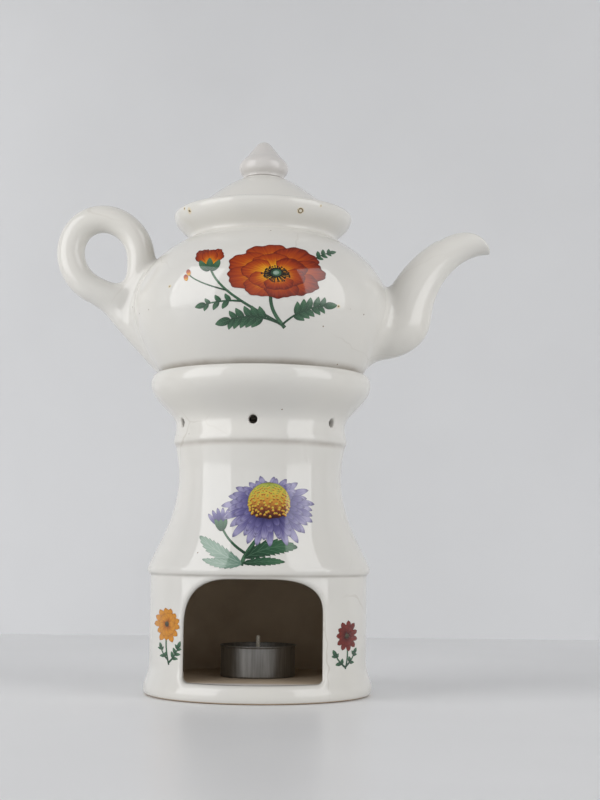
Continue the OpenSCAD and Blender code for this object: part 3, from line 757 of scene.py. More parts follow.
for reach, count, width, tone, shift in ((23.4, 21, 1.9, 0.86, 0.0), (20.6, 21, 1.9, 0.62, 0.5),
                                         (17.6, 19, 1.8, 0.42, 0.2), (14.2, 17, 1.6, 0.2, 0.6)):
    ring = [2 * math.pi * (i + shift) / count + draw.uniform(-0.07, 0.07) for i in range(count)]
    for turn in sorted(ring, key=lambda t: -math.sin(t)):
        way = np.array([math.cos(turn), 0.68 * math.sin(turn)])
        droop = np.array([0, -2.6 * (1 - 0.6 * math.sin(turn)) * (reach / 22.6) ** 2])
        far = reach * draw.uniform(0.9, 1.07)
        coneflower += inked(violet, tone * draw.uniform(0.8, 1.15), blade(
            cone + 4.5 * way - (0, 1.5), cone + far * way + droop, width, 1.4 * math.cos(turn), 0.8, 0.6))
coneflower += inked(cone_ink, 0.36, blade(cone - (0, 6.6), cone + (0, 11.6), 10.4, 0.0, 0.42, 0.5, 28))
for i in range(110):
    height, turn = 1 - (i + 0.5) / 110, 2.39996 * i
    around = math.sin(turn)
    wide = 9.4 * math.sqrt(max(1 - (1.9 * height - 0.75) ** 2 / 1.4, 0.05))
    root = cone + (wide * around, 14.2 * height - 5.6 - 1.5 * (1 - abs(around)) * (1 - height))
    coneflower += inked(cone_ink, 0.16 + 0.7 * height + draw.uniform(-0.1, 0.1), blade(
        root, root + (0.9 * around, 2.0 - 0.5 * abs(around)), 0.66, 0.0, 0.5, 0.6, 6))
transfer("coneflower_transfer", coneflower, [violet, cone_ink, leaf, pale_leaf], stand_line, 58, 124, "stand")


# SPRIG TRANSFERS
# Two small printed flowers on the drum, one on each side of the doorway: an orange one and a dark red one.
# They are made and fired on like the large flower above them.

orange = ink("orange_ink", [(0.0, (0.10, 0.025, 0.008)), (0.35, (0.42, 0.13, 0.012)), (0.7, (0.60, 0.25, 0.02)),
                            (1.0, (0.52, 0.21, 0.02))], (0.24, 0.07, 0.012), 5, 0.35, 0.14)
deep_red = ink("deep_red_ink", [(0.0, (0.02, 0.004, 0.003)), (0.5, (0.11, 0.011, 0.008)), (1.0, (0.19, 0.022, 0.013))],
               (0.04, 0.006, 0.005), 5, 0.35, 0.14)
seed_ink = ink("seed_ink", [(0.0, (0.03, 0.025, 0.015)), (1.0, (0.10, 0.085, 0.05))], (0.02, 0.016, 0.01), 4, 0.4, 0.1)


def daisy(petal_ink, middle, reach, squeeze, count, seed_r):
    """A many-petalled flower on the turn of the drum: two rings of petals around a dark middle."""
    shapes = []
    for ring, (share, shift) in enumerate(((1.0, 0.0), (0.68, 0.5))):
        for i in range(count):
            turn = 2 * math.pi * (i + shift) / count + 0.3
            far = reach * share * draw.uniform(0.86, 1.1)
            way = np.array([squeeze * math.cos(turn), math.sin(turn)])
            shapes += inked(petal_ink, draw.uniform(0.3, 0.7) + 0.15 * ring, blade(
                middle + 0.1 * far * way, middle + far * way, 0.17 * reach, draw.uniform(-0.4, 0.4), 0.75, 0.5, 9))
    x, z = middle
    return shapes + inked(seed_ink, 0.5, blade((x, z - seed_r), (x, z + seed_r), 0.8 * seed_r, 0.0, 0.5, 0.5))


sprig = inked(leaf, 0.5, stalk([(-43.4, 16.7), (-44.6, 21.7), (-45.4, 25.7), (-44.8, 31.7)], 0.4, 0.35))
sprig += inked(leaf, 0.6, *pinnate((-43.6, 17.7), (-38.6, 25.7), 3, 3.6, 0.9, -0.6),
               *pinnate((-43.8, 19.1), (-47.6, 24.7), 2, 3.0, 0.8, 0.6))
sprig += daisy(orange, np.array([-44.6, 36.3]), 8.8, 0.78, 13, 1.3)
transfer("orange_sprig_transfer", sprig, [orange, leaf, seed_ink], stand_line, 11, 59, "stand")

sprig = inked(leaf, 0.5, stalk([(42.6, 15.3), (43.6, 18.7), (44.0, 21.7), (43.6, 27.7)], 0.4, 0.35))
sprig += inked(leaf, 0.3, *pinnate((42.8, 16.1), (37.6, 22.3), 2, 3.4, 1.0, 0.5),
               *pinnate((43.0, 16.7), (47.4, 22.7), 2, 3.2, 0.9, -0.5))
sprig += daisy(deep_red, np.array([43.4, 31.3]), 7.6, 0.8, 11, 1.2)
transfer("red_sprig_transfer", sprig, [deep_red, leaf, seed_ink], stand_line, 11, 59, "stand")


# POT BODY
# A round pot, slip-cast like the stand and glazed inside and out, with a ledge in its collar for the lid.
# It only stands in the stand's cup. Seven holes behind the spout hold back the leaves.

belly_r, belly_z, pot_foot_r = 67.1, 196.7, 39.5
throat_r, throat_z, pot_wall = 37.8, 235.7, 4.5
collar_r, mouth_r, lip_z, lip_round = 46.9, 42.3, 249.1, 2.4
lid_z, lid_ledge_r = 243.7, 38.0
rim_share = 0.6
flank_top, flank_mid = np.array([belly_r, belly_z]), np.array([belly_r, belly_z - 17])
flank_end = np.array([pot_foot_r + 0.5, seat_z + 2])
flank_low = (np.array([rim_r - 2.0, stand_h]) - (1 - rim_share) ** 3 * flank_top
             - 3 * (1 - rim_share) ** 2 * rim_share * flank_mid - rim_share ** 3 * flank_end)
flank_low = flank_low / (3 * (1 - rim_share) * rim_share ** 2)
throat_low, throat_high = np.array([throat_r + 2.2, throat_z - 2.2]), np.array([throat_r + 1.1, throat_z + 0.7])
pot_bottom_z = seat_z + 1.6 + pot_wall
pot_in_r = belly_r - pot_wall
pot_outside = [
    bend([flank_top, flank_mid, flank_low, flank_end], 90)[::-1],
    bend([(belly_r, belly_z), (belly_r, belly_z + 16), (belly_r - 12, throat_z - 9.6), throat_low], 90),
    bend([throat_low, throat_low + (-1.8, 0.9), throat_high - (0.7, 1), throat_high]),
    bend([throat_high, throat_high + (1.1, 1.6), (collar_r - 2.2, lip_z - 8.6), (collar_r - 0.6, lip_z - 4.6)]),
    arc((collar_r - lip_round, lip_z - lip_round), lip_round, lip_round, -12, 90),
]
pot_inside = [
    arc((mouth_r + 1.4, lip_z - 1.4), 1.4, 1.4, 90, 180),
    [(mouth_r, lid_z), (lid_ledge_r, lid_z)],
    bend([(throat_r - pot_wall, throat_z - 2.5), (belly_r - 15.5, throat_z - 12.5), (pot_in_r, belly_z + 14),
          (pot_in_r, belly_z)]),
    bend([(pot_in_r, belly_z), (pot_in_r, belly_z - 17), flank_low + (-3, 2), (pot_foot_r - 5, pot_bottom_z)]),
    [(0, pot_bottom_z)],
]
pot_underside = [[(0, seat_z + 1.6), (pot_foot_r - 4.5, seat_z + 1.6),
                  (pot_foot_r - 4.5, seat_z), (pot_foot_r, seat_z)]]
pot_line = melted(pot_underside + pot_outside + pot_inside)
pot_shell = turned_field(pot_line)
strainer_r, strainer_z = 2.2, belly_z - 6
strainer = [(0, 0)] + [(4 * strainer_r * math.sin(a), 4 * strainer_r * math.cos(a))
                       for a in (i * math.pi / 3 for i in range(6))]


def pot_field(p, shell=None):
    """The pot: its turned shell, less the holes of the strainer."""
    solid = pot_shell(p) if shell is None else (shell, None)
    for y, z in strainer:
        off = np.stack([np.zeros(len(p)), p[:, 1] - y, p[:, 2] - strainer_z - z], 1)
        size = np.maximum(np.linalg.norm(off, axis=1), 1e-9)
        hole = (np.where(p[:, 0] > 0, strainer_r - size, -20), -off / size[:, None])
        solid = round_over(solid, hole, 0.8)
    return solid


pot_radii = steps((0, 28, 4), (28, 69.5, 1.1))
pot_heights = steps((141.7, 149.2, 0.7), (149.2, 179.7, 1.8), (179.7, 202.7, 0.9), (202.7, 230.7, 1.8),
                    (230.7, 251.2, 0.6))
pot_turns = np.concatenate([steps((-13, 13, 0.9)), steps((13, 347, 2.1))]) * math.pi / 180
pot_chips = [(21.2, -39.5, 241.9, 0.38, 1.15), (-38.9, -26.1, 246.3, 0.5, 0), (-36.1, -29.3, 244.3, 0.9, 0),
             (31.4, -34.7, 245.6, 0.4, 0), (-42.3, -51.7, 201.1, 0.5, 0), (40.6, -52.6, 191.1, 0.55, 0)]
# Painted shade, with some brown grime, darkens the throat and a band of the flank just above the stand's rim.
pot_glaze = glaze("pot_glaze", [(234.6, 1.2, 0.2), (163.7, 3.4, 0.9)], chips=pot_chips)[0]
pot = turned_skin(pot_field, pot_radii, pot_turns, pot_heights, pot_shell)
add_piece("pot_body_glazed", *pot, pot_glaze, "pot", "glazed_earthenware", "pot_body")


# ANEMONE TRANSFER
# The large printed flower on the pot's front, with a bud and feathered leaves, fired on like those of the stand.
# Its petals run from yellow at the middle to a dark red edge, around a black-green middle with its stamens.

scarlet = ink("scarlet_ink", [(0.0, (0.34, 0.10, 0.010)), (0.24, (0.66, 0.36, 0.02)), (0.44, (0.58, 0.19, 0.010)),
                              (0.66, (0.40, 0.065, 0.008)), (0.86, (0.28, 0.034, 0.008)), (1.0, (0.16, 0.018, 0.008))],
              (0.10, 0.012, 0.007), 13, 0.45, 0.045)
stamen = ink("stamen_ink", [(0.0, (0.012, 0.010, 0.008)), (1.0, (0.03, 0.022, 0.016))],
             (0.01, 0.008, 0.006), 4, 0.2, 0.1)

eye_at, squash = np.array([6.5, 204.7]), 0.6
anemone = inked(leaf, 0.4, stalk([(5.0, 199.7), (2.0, 189.7), (6.0, 184.7), (11.0, 179.3)], 0.8, 0.9),
                stalk([(9.4, 180.7), (-4.0, 187.7), (-22.0, 195.7), (-25.4, 208.7)], 0.7, 0.5),
                stalk([(-17.4, 196.6), (-24.0, 198.6), (-31.6, 201.3), (-35.4, 205.3)], 0.4, 0.3))
anemone += inked(leaf, 0.42, *pinnate((8.8, 180.9), (-17.0, 182.3), 5, 7.4, 1.9, -2.4))
anemone += inked(leaf, 0.55, *pinnate((9.6, 180.5), (31.6, 190.7), 5, 6.6, 1.7, 2.0))
anemone += inked(leaf, 0.5, *pinnate((-9.8, 191.2), (-28.6, 190.1), 3, 5.2, 1.4, -0.8))
anemone += inked(leaf, 0.6, *pinnate((24.0, 212.7), (33.4, 219.1), 3, 4.0, 1.1, 0.6))
for x, z in ((-35.6, 205.7), (-36.8, 203.1)):
    anemone += inked(scarlet, 0.55, blade((x, z - 0.6), (x - 0.9, z + 3.0), 1.1, 0.0, 0.6, 0.5))
for aim, reach, spread, tone, phase in ((116, 11.6, 30, 0.6, 0.4), (66, 11.2, 28, 0.5, 2.0), (91, 10.2, 34, 0.42, 3.4)):
    anemone += inked(scarlet, tone, fan((-25.6, 208.3), aim, reach, spread, 0.03, phase))
anemone += inked(leaf, 0.66, *[blade((-25.5, 207.1), (x, z), 1.7, bow, 0.5, 0.7)
                              for x, z, bow in ((-30.6, 213.1, 0.9), (-21.0, 212.7, -0.9), (-25.8, 213.9, 0.0))])
for count, reach, spread, start, tones in ((8, 23.4, 37, 12, (0.34, 0.58)), (6, 15.6, 50, 40, (0.3, 0.56))):
    ring = [start + 360 * i / count for i in range(count)]
    for i, aim in enumerate(sorted(ring, key=lambda a: -math.sin(math.radians(a)))):
        lift = 1 + 0.13 * math.sin(math.radians(aim))
        anemone += inked(scarlet, tones[i % 2] + draw.uniform(-0.04, 0.04), fan(
            eye_at, aim, reach * lift * draw.uniform(0.96, 1.05), spread, 0.026, 1.7 * i + reach, squash))
for i in range(34):
    turn = 2 * math.pi * i / 34 + draw.uniform(-0.06, 0.06)
    way = np.array([math.cos(turn), squash * math.sin(turn)])
    far = draw.uniform(5.2, 7.0)
    anemone += inked(stamen, 0.5, blade(eye_at + 2.6 * way, eye_at + far * way, 0.22, 0.0, 0.2, 0.2, 7),
                     blade(eye_at + (far - 0.5) * way, eye_at + (far + 0.5) * way, 0.48, 0.0, 0.5, 0.5, 7))
for reach, tone, used in ((3.5, 0.4, stamen), (2.6, 0.2, leaf), (1.5, 0.9, pale_leaf)):
    anemone += inked(used, tone, blade(eye_at - (reach, -0.2), eye_at + (reach, 0.5), 0.72 * reach, 0.2, 0.5, 0.5))
transfer("anemone_transfer", anemone, [scarlet, leaf, stamen, pale_leaf], pot_line, 152, 234, "pot")


# SPOUT
# A hollow swan-neck cast by itself and luted to the pot with slip, which the thumb smoothed into a soft seam.
# Its mouth is cut on a slope in a slight bow, and its edge is melted round.


def swept_field(top, low, deep_share, wall=0.0, count=240):
    """Distance from a tube of oval sections between two curves in the XZ plane, or from its bore."""
    t = np.linspace(0, 1, count)[:, None]
    lines = []
    for points in (top, low):
        rows = [np.array(p, float) * np.ones_like(t) for p in points]
        while len(rows) > 1:
            rows = [a * (1 - t) + b * t for a, b in zip(rows, rows[1:])]
        lines.append(rows[0])
    x, z = ((lines[0] + lines[1]) / 2).T
    across = lines[0] - lines[1]
    half = np.linalg.norm(across, axis=1) / 2
    axis = np.stack([across[:, 1], -across[:, 0]], 1) / (2 * half[:, None])
    half_h, half_d = half - wall, half * deep_share - wall

    def field(q):
        far = np.empty(len(q))
        for low in range(0, len(q), 20000):
            s = q[low:low + 20000]
            ahead = (s[:, 0, None] - x) * axis[:, 0] + (s[:, 2, None] - z) * axis[:, 1]
            near = (s[:, 0, None] - x) ** 2 + (s[:, 2, None] - z) ** 2
            passed = (ahead[:, :-1] >= 0) & (ahead[:, 1:] < 0)
            i = np.where(passed, near[:, :-1], 1e9).argmin(1)
            missed = ~passed.any(1)
            i = np.where(missed, np.minimum(near.argmin(1), count - 2), i)
            rows = np.arange(len(s))
            a, c = ahead[rows, i], ahead[rows, i + 1]
            f = np.where(missed, 0, a / np.where(missed, 1, a - c))
            mix = lambda v: v[i] * (1 - f) + v[i + 1] * f
            h = -(s[:, 0] - mix(x)) * mix(axis[:, 1]) + (s[:, 2] - mix(z)) * mix(axis[:, 0])
            w = s[:, 1]
            hh, dd = mix(half_h), mix(half_d)
            m = np.sqrt((h / hh) ** 2 + (w / dd) ** 2)
            pull = np.maximum(np.hypot(h / hh ** 2, w / dd ** 2), 1e-6)
            far[low:low + 20000] = np.where(m < 0.05, -np.minimum(hh, dd), (m - 1) * m / pull)
            far[low:low + 20000] += np.where(missed, np.abs(a), 0)
        return far

    return field


def joined(a, b, k):
    """Two solids run together with a fillet of about k mm."""
    h = np.clip(0.5 + 0.5 * (b - a) / k, 0, 1)
    return b * (1 - h) + a * h - k * h * (1 - h)


def sloped(value, points, step=0.04):
    """A distance with its direction, which is taken from the distances around."""
    grow = np.stack([(value(points + s) - value(points - s)) / (2 * step) for s in np.eye(3) * step], 1)
    return value(points), grow


def luted_skin(value, pot_gap, low, high, cell):
    """Skin of a piece with its fillet, up to where the fillet runs out on the pot."""
    axes = [np.arange(a, b + cell, cell) for a, b in zip(low, high)]
    space = np.stack([g.ravel() for g in np.meshgrid(*axes, indexing="ij")], 1)
    points, quads = skin(axes, value(space).reshape([len(a) for a in axes]))
    points, out = settle(points, lambda p: sloped(value, p))
    gap = pot_gap(points)[0]
    used = quads[(gap[quads] > 0.03).any(1)]
    kept, faces = np.unique(used, return_inverse=True)
    points, out = points[kept], out[kept]
    gap, grow = pot_gap(points)
    points = np.where((gap < 0.03)[:, None], points - (gap + 0.04)[:, None] * grow, points)
    return points, faces.reshape(used.shape), out


pot_form = turned_field(melted([[(0, flank_end[1])]] + pot_outside + [[(0, lip_z)]]))
spout_top = [(belly_r + x, belly_z + z) for x, z in
             [(-14.9, 8.9), (-7.4, 2.3), (-2.9, 0.9), (-0.9, 18.1), (12.1, 41.3), (47.5, 45.9)]]
spout_low = [(belly_r + x, belly_z + z) for x, z in
             [(-12.6, -24.7), (27.3, -27.5), (26.8, 8.5), (13.2, -16.1), (24.0, 35.8), (55.3, 31.2)]]
spout_wall, spout_fillet, spout_lip = 2.6, 6.0, 1.6
mouth_middle, mouth_bow_r = np.array([belly_r + 37.1, belly_z + 26.3]), 16.6
spout_tube = swept_field(spout_top, spout_low, 0.93)
spout_bore = swept_field(spout_top, spout_low, 0.93, spout_wall)


def spout_value(p):
    """The spout run into the pot, less its bore, and cut across at the mouth."""
    solid = joined(spout_tube(p), pot_form(p)[0], spout_fillet)
    beyond = np.hypot(p[:, 0] - mouth_middle[0], p[:, 2] - mouth_middle[1]) - mouth_bow_r
    beyond = np.where(p[:, 0] + p[:, 2] > mouth_middle.sum(), beyond, -mouth_bow_r)
    solid = round_over((solid, None), (beyond, None), spout_lip)[0]
    return round_over((solid, None), (-spout_bore(p), None), spout_lip)[0]


spout_glaze = glaze("spout_glaze", craze=0.2)[0]
spout = luted_skin(spout_value, pot_form, (52, -24, 161.7), (123, 24, 241.7), 1.0)
add_piece("spout_glazed", *spout, spout_glaze, "pot", "glazed_earthenware", "spout")


# HANDLE
# A ring of rolled clay with a tail, luted to the pot's shoulder and flank while both were leather-hard.
# The seams are filled with slip, so the ring, its tail and the pot run into each other.

loop_x, loop_z, loop_half_w, loop_half_h, roll_r = -83.3, 227.1, 18.1, 20.4, 7.3
loop_lean = math.radians(30.7)
loop_sag, sag_turn, sag_reach = 3.4, math.radians(-58), math.radians(24)
tail_top = [(loop_x + x, loop_z + z) for x, z in [(-1.3, -17.3), (13.5, -20.8), (31.9, -27), (44.9, -38.5)]]
tail_low = [(loop_x + x, loop_z + z)
            for x, z in [(-4.9, -23.1), (-4.4, -26.6), (18, -51.7), (19.6, -54.3), (39.8, -66.6)]]
tail = swept_field(tail_top, tail_low, 0.78)
tail_fillet, handle_fillet = 5.0, 7.0


def handle_value(p):
    """The ring run into its tail, and both into the pot."""
    x, z = p[:, 0] - loop_x, p[:, 2] - loop_z
    keep = 1 - loop_sag * np.exp(-((np.arctan2(z, x) - sag_turn) / sag_reach) ** 2) / np.maximum(np.hypot(x, z), 8)
    x, z = x * keep, z * keep
    x, z = x * math.cos(loop_lean) + z * math.sin(loop_lean), z * math.cos(loop_lean) - x * math.sin(loop_lean)
    turn = np.arctan2(z / loop_half_h, x / loop_half_w)
    for _ in range(3):
        c, s = np.cos(turn), np.sin(turn)
        dx, dz = -loop_half_w * s, loop_half_h * c
        turn = turn - ((loop_half_w * c - x) * dx + (loop_half_h * s - z) * dz) / (dx * dx + dz * dz)
    flat = np.hypot(loop_half_w * np.cos(turn) - x, loop_half_h * np.sin(turn) - z)
    ring = np.hypot(flat, p[:, 1]) - roll_r
    return joined(joined(ring, tail(p), tail_fillet), pot_form(p)[0], handle_fillet)


handle_glaze = glaze("handle_glaze", craze=0.2)[0]
handle = luted_skin(handle_value, pot_form, (-111, -22, 151.7), (-46, 22, 254.7), 1.0)
add_piece("handle_glazed", *handle, handle_glaze, "pot", "glazed_earthenware", "handle")


# LID
# A low dome with a skirt under it, which keeps it in the collar while tea is poured.
# It is cast and glazed like the pot; the bare clay on the seat of its edge is not drawn.


def lathe(line, sides=160):
    """A closed mesh turned from an outline that starts and ends on the axis."""
    out = facing(line)
    q = np.linspace(0, 2 * math.pi, sides, endpoint=False)
    wheel = np.stack([np.cos(q), np.sin(q)], 1)
    inner = line[1:-1]
    ring = np.concatenate([wheel[None] * inner[:, None, :1],
                           np.broadcast_to(inner[:, None, 1:], (len(inner), sides, 1))], 2)
    aim = np.concatenate([wheel[None] * out[1:-1, None, :1],
                          np.broadcast_to(out[1:-1, None, 1:], (len(inner), sides, 1))], 2)
    points = np.concatenate([ring.reshape(-1, 3), [[0, 0, line[0, 1]], [0, 0, line[-1, 1]]]])
    out = np.concatenate([aim.reshape(-1, 3), [[0, 0, -1 if out[0, 1] < 0 else 1],
                                               [0, 0, 1 if out[-1, 1] > 0 else -1]]])
    k = np.arange(sides)
    after = (k + 1) % sides
    faces = []
    for i in range(len(inner) - 1):
        faces += np.stack([i * sides + k, i * sides + after, (i + 1) * sides + after, (i + 1) * sides + k], 1).tolist()
    start, end, last = len(points) - 2, len(points) - 1, (len(inner) - 1) * sides
    faces += [[start, b, a] for a, b in zip(k.tolist(), after.tolist())]
    faces += [[end, last + a, last + b] for a, b in zip(k.tolist(), after.tolist())]
    return points, faces, out


lid_r, edge_z, skirt_r, skirt_low_r, knob_z, lid_wall = 41.7, 246.7, 37.1, 34.86, 268.7, 4.0
knob_neck_r = 10.2
lid_line = melted([
    [(0, knob_z - lid_wall)],
    bend([(knob_neck_r, knob_z - lid_wall - 0.6), (lid_r / 2 - 2, knob_z - lid_wall - 5), (skirt_r - 5, lid_z + 6),
          (skirt_r - 2.4, lid_z + 0.6)]),
    [(skirt_low_r - 2.2, lid_z - 5), (skirt_low_r, lid_z - 5), (skirt_r, lid_z), (lid_r, lid_z)],
    arc((lid_r - 1.2, edge_z), 1.2, 1.2, 0, 70),
    bend([(lid_r - 1.6, edge_z + 1.3), (lid_r - 9.7, lid_z + 10), (lid_r / 2, knob_z - 4.5),
          (knob_neck_r + 0.4, knob_z - 0.3)], 60),
    [(0, knob_z - 0.3)],
], spread=0.45)
# Painted shade darkens a thin line of the lid under the knob.
lid_glaze = glaze("lid_glaze", [(268.3, 1.2, 0.2)], craze=0.6)[0]
add_piece("lid_glazed", *lathe(lid_line), lid_glaze, "lid", "glazed_earthenware", "lid")


# LID KNOB
# A pointed onion of solid clay, turned by itself and luted to the top of the lid.
# Its glaze is tinted a deeper pinkish grey all over.

knob_r, knob_top = 13.0, 288.7
bulb_z = knob_z + 5.4
knob_line = melted([
    [(0, knob_z - 0.2)],
    bend([(knob_neck_r + 0.6, knob_z - 0.2), (knob_neck_r - 0.6, knob_z + 1.8), (knob_r, knob_z + 1.6),
          (knob_r, bulb_z)]),
    bend([(knob_r, bulb_z), (knob_r, bulb_z + 3), (knob_r - 2, bulb_z + 4.4), (knob_r - 3.8, bulb_z + 6)]),
    bend([(knob_r * 0.33, knob_top - 2.4), (knob_r * 0.25, knob_top - 0.8), (knob_r * 0.12, knob_top), (0, knob_top)]),
], spread=0.5, step=0.3)
# Painted shade faintly darkens a line at the knob's foot.
knob_glaze = glaze("knob_glaze", [(268.9, 1.2, 0.1)], craze=0.3, deep_tone=0.45)[0]
add_piece("lid_knob_glazed", *lathe(knob_line, 96), knob_glaze, "lid", "glazed_earthenware", "lid_knob")


# TEA LIGHT
# A night-light that stands loose on the chamber's floor: a pressed aluminium cup full of white paraffin,
# with a cotton wick that a tinned tab holds upright at the bottom.

tealight_r, tealight_h, sheet = 19.0, 16.0, 0.4
tealight_z = floor_z
cup_line = melted([
    [(0, 0), (tealight_r - 0.8, 0)],
    arc((tealight_r - 0.8, 0.8), 0.8, 0.8, -80, 0, 6),
    [(tealight_r, tealight_h - 1.2), (tealight_r + 0.5, tealight_h - 0.5), (tealight_r + 0.35, tealight_h - 0.05),
     (tealight_r - 0.1, tealight_h - 0.2), (tealight_r - sheet, tealight_h - 1.2),
     (tealight_r - sheet, sheet + 0.5), (tealight_r - sheet - 0.5, sheet), (0, sheet)],
], spread=0.14, step=0.15) + (0, tealight_z)
aluminium = bpy.data.materials.new("pressed_aluminium_painted_dark")
aluminium.use_nodes = True
tree = aluminium.node_tree
metal = tree.nodes["Principled BSDF"]
metal.inputs["Metallic"].default_value = 1.0
where = node(tree, "ShaderNodeTexCoord").outputs["Object"]
drawn = node(tree, "ShaderNodeMapping", {"Vector": where})
drawn.inputs["Scale"].default_value = (900, 900, 60)
lines = node(tree, "ShaderNodeTexNoise", {"Vector": drawn.outputs[0]}, Scale=1.0, Detail=2.0).outputs["Fac"]
dents = node(tree, "ShaderNodeTexNoise", {"Vector": where}, Scale=160.0, Detail=1.0).outputs["Fac"]
# The cup's colours are painted far darker than bare aluminium: painted shade for a cup that stands in the dark chamber.
tree.links.new(ramp(tree, lines, (0.3, (0.20, 0.195, 0.185)), (0.7, (0.30, 0.295, 0.285))), metal.inputs["Base Color"])
rough = node(tree, "ShaderNodeMapRange", {"Value": lines})
rough.inputs["To Min"].default_value = 0.4
rough.inputs["To Max"].default_value = 0.6
tree.links.new(rough.outputs[0], metal.inputs["Roughness"])
dented = node(tree, "ShaderNodeBump", {"Height": dents}, Strength=0.35, Distance=0.0006)
tree.links.new(dented.outputs["Normal"], metal.inputs["Normal"])
add_piece("tealight_cup_pressed", *lathe(cup_line, 96), aluminium, "tealight", "aluminium_sheet", "tealight_cup")

wax_r, wax_top, wick_r = tealight_r - sheet - 0.1, tealight_z + sheet + 13, 1.1
wax_line = melted([
    [(0, tealight_z + sheet), (wax_r, tealight_z + sheet), (wax_r, wax_top)],
    bend([(wax_r - 0.6, wax_top - 0.4), (wax_r - 3, wax_top - 0.9), (6, wax_top - 0.7), (3, wax_top - 0.3)]),
    [(wick_r + 0.3, wax_top), (0, wax_top)],
], spread=0.3, step=0.25)
paraffin = bpy.data.materials.new("paraffin")
paraffin.use_nodes = True
tree = paraffin.node_tree
wax = tree.nodes["Principled BSDF"]
where = node(tree, "ShaderNodeTexCoord").outputs["Object"]
cloud = node(tree, "ShaderNodeTexNoise", {"Vector": where}, Scale=220.0, Detail=3.0).outputs["Fac"]
tree.links.new(ramp(tree, cloud, (0.35, (0.78, 0.76, 0.70)), (0.65, (0.84, 0.83, 0.79))), wax.inputs["Base Color"])
wax.inputs["Roughness"].default_value = 0.38
wax.inputs["Subsurface Weight"].default_value = 0.3
wax.inputs["Subsurface Radius"].default_value = (0.003, 0.0025, 0.002)
lumps = node(tree, "ShaderNodeBump", {"Height": cloud}, Strength=0.25, Distance=0.0004)
tree.links.new(lumps.outputs["Normal"], wax.inputs["Normal"])
add_piece("tealight_wax_cast", *lathe(wax_line, 72), paraffin, "tealight", "paraffin_wax", "tealight_wax")

tab_r, tab_z = 7.0, tealight_z + sheet
tab_line = melted([
    [(0, tab_z), (tab_r, tab_z), (tab_r, tab_z + 0.4), (wick_r + 0.45, tab_z + 0.4), (wick_r + 0.45, tab_z + 3),
     (wick_r + 0.05, tab_z + 3), (wick_r + 0.05, tab_z + 0.4), (0, tab_z + 0.4)],
], spread=0.05, step=0.1)
tinned = bpy.data.materials.new("tinned_steel")
tinned.use_nodes = True
tree = tinned.node_tree
metal = tree.nodes["Principled BSDF"]
metal.inputs["Metallic"].default_value = 1.0
where = node(tree, "ShaderNodeTexCoord").outputs["Object"]
spangle = node(tree, "ShaderNodeTexNoise", {"Vector": where}, Scale=700.0, Detail=2.0).outputs["Fac"]
tree.links.new(ramp(tree, spangle, (0.3, (0.46, 0.46, 0.46)), (0.7, (0.6, 0.6, 0.59))), metal.inputs["Base Color"])
metal.inputs["Roughness"].default_value = 0.35
add_piece("wick_tab_pressed", *lathe(tab_line, 48), tinned, "tealight", "tinned_steel", "wick_tab")

wick_low, wick_top, wick_sides, wick_rings = tab_z + 0.4, tab_z + 20, 24, 90
height = np.linspace(0, 1, wick_rings)[:, None]
turn = np.linspace(0, 2 * math.pi, wick_sides, endpoint=False)[None]
plait = 1 + 0.07 * np.cos(3 * (turn + 9 * height * math.pi)) + 0.05 * np.cos(3 * (turn - 9 * height * math.pi))
taper = np.where(height > 0.985, 0.75, 1.0)
reach = wick_r * 0.89 * plait * taper
tip = np.concatenate([(reach * np.cos(turn))[..., None], (reach * np.sin(turn))[..., None],
                      np.broadcast_to(wick_low + (wick_top - wick_low) * height, reach.shape)[..., None]], 2)
points = np.concatenate([tip.reshape(-1, 3), [[0, 0, wick_low], [0, 0, wick_top]]])
k = np.arange(wick_sides)
after = (k + 1) % wick_sides
faces = []
for i in range(wick_rings - 1):
    faces += np.stack([i * wick_sides + k, i * wick_sides + after, (i + 1) * wick_sides + after,
                       (i + 1) * wick_sides + k], 1).tolist()
last = (wick_rings - 1) * wick_sides
faces += [[len(points) - 2, b, a] for a, b in zip(k.tolist(), after.tolist())]
faces += [[len(points) - 1, last + a, last + b] for a, b in zip(k.tolist(), after.tolist())]
cotton = bpy.data.materials.new("waxed_cotton")
cotton.use_nodes = True
tree = cotton.node_tree
thread = tree.nodes["Principled BSDF"]
where = node(tree, "ShaderNodeTexCoord").outputs["Object"]
fibre = node(tree, "ShaderNodeTexNoise", {"Vector": where}, Scale=1500.0, Detail=3.0).outputs["Fac"]
tree.links.new(ramp(tree, fibre, (0.3, (0.66, 0.61, 0.50)), (0.7, (0.83, 0.80, 0.71))), thread.inputs["Base Color"])
thread.inputs["Roughness"].default_value = 0.75
add_piece("wick_plaited", points, faces, None, cotton, "tealight", "cotton", "wick")


# STAGE
# A pale table top and a light grey wall behind it, two tall soft boxes, and the camera.

table_z, wall_y, stage_half = 0.0, 465.0, 3000.0


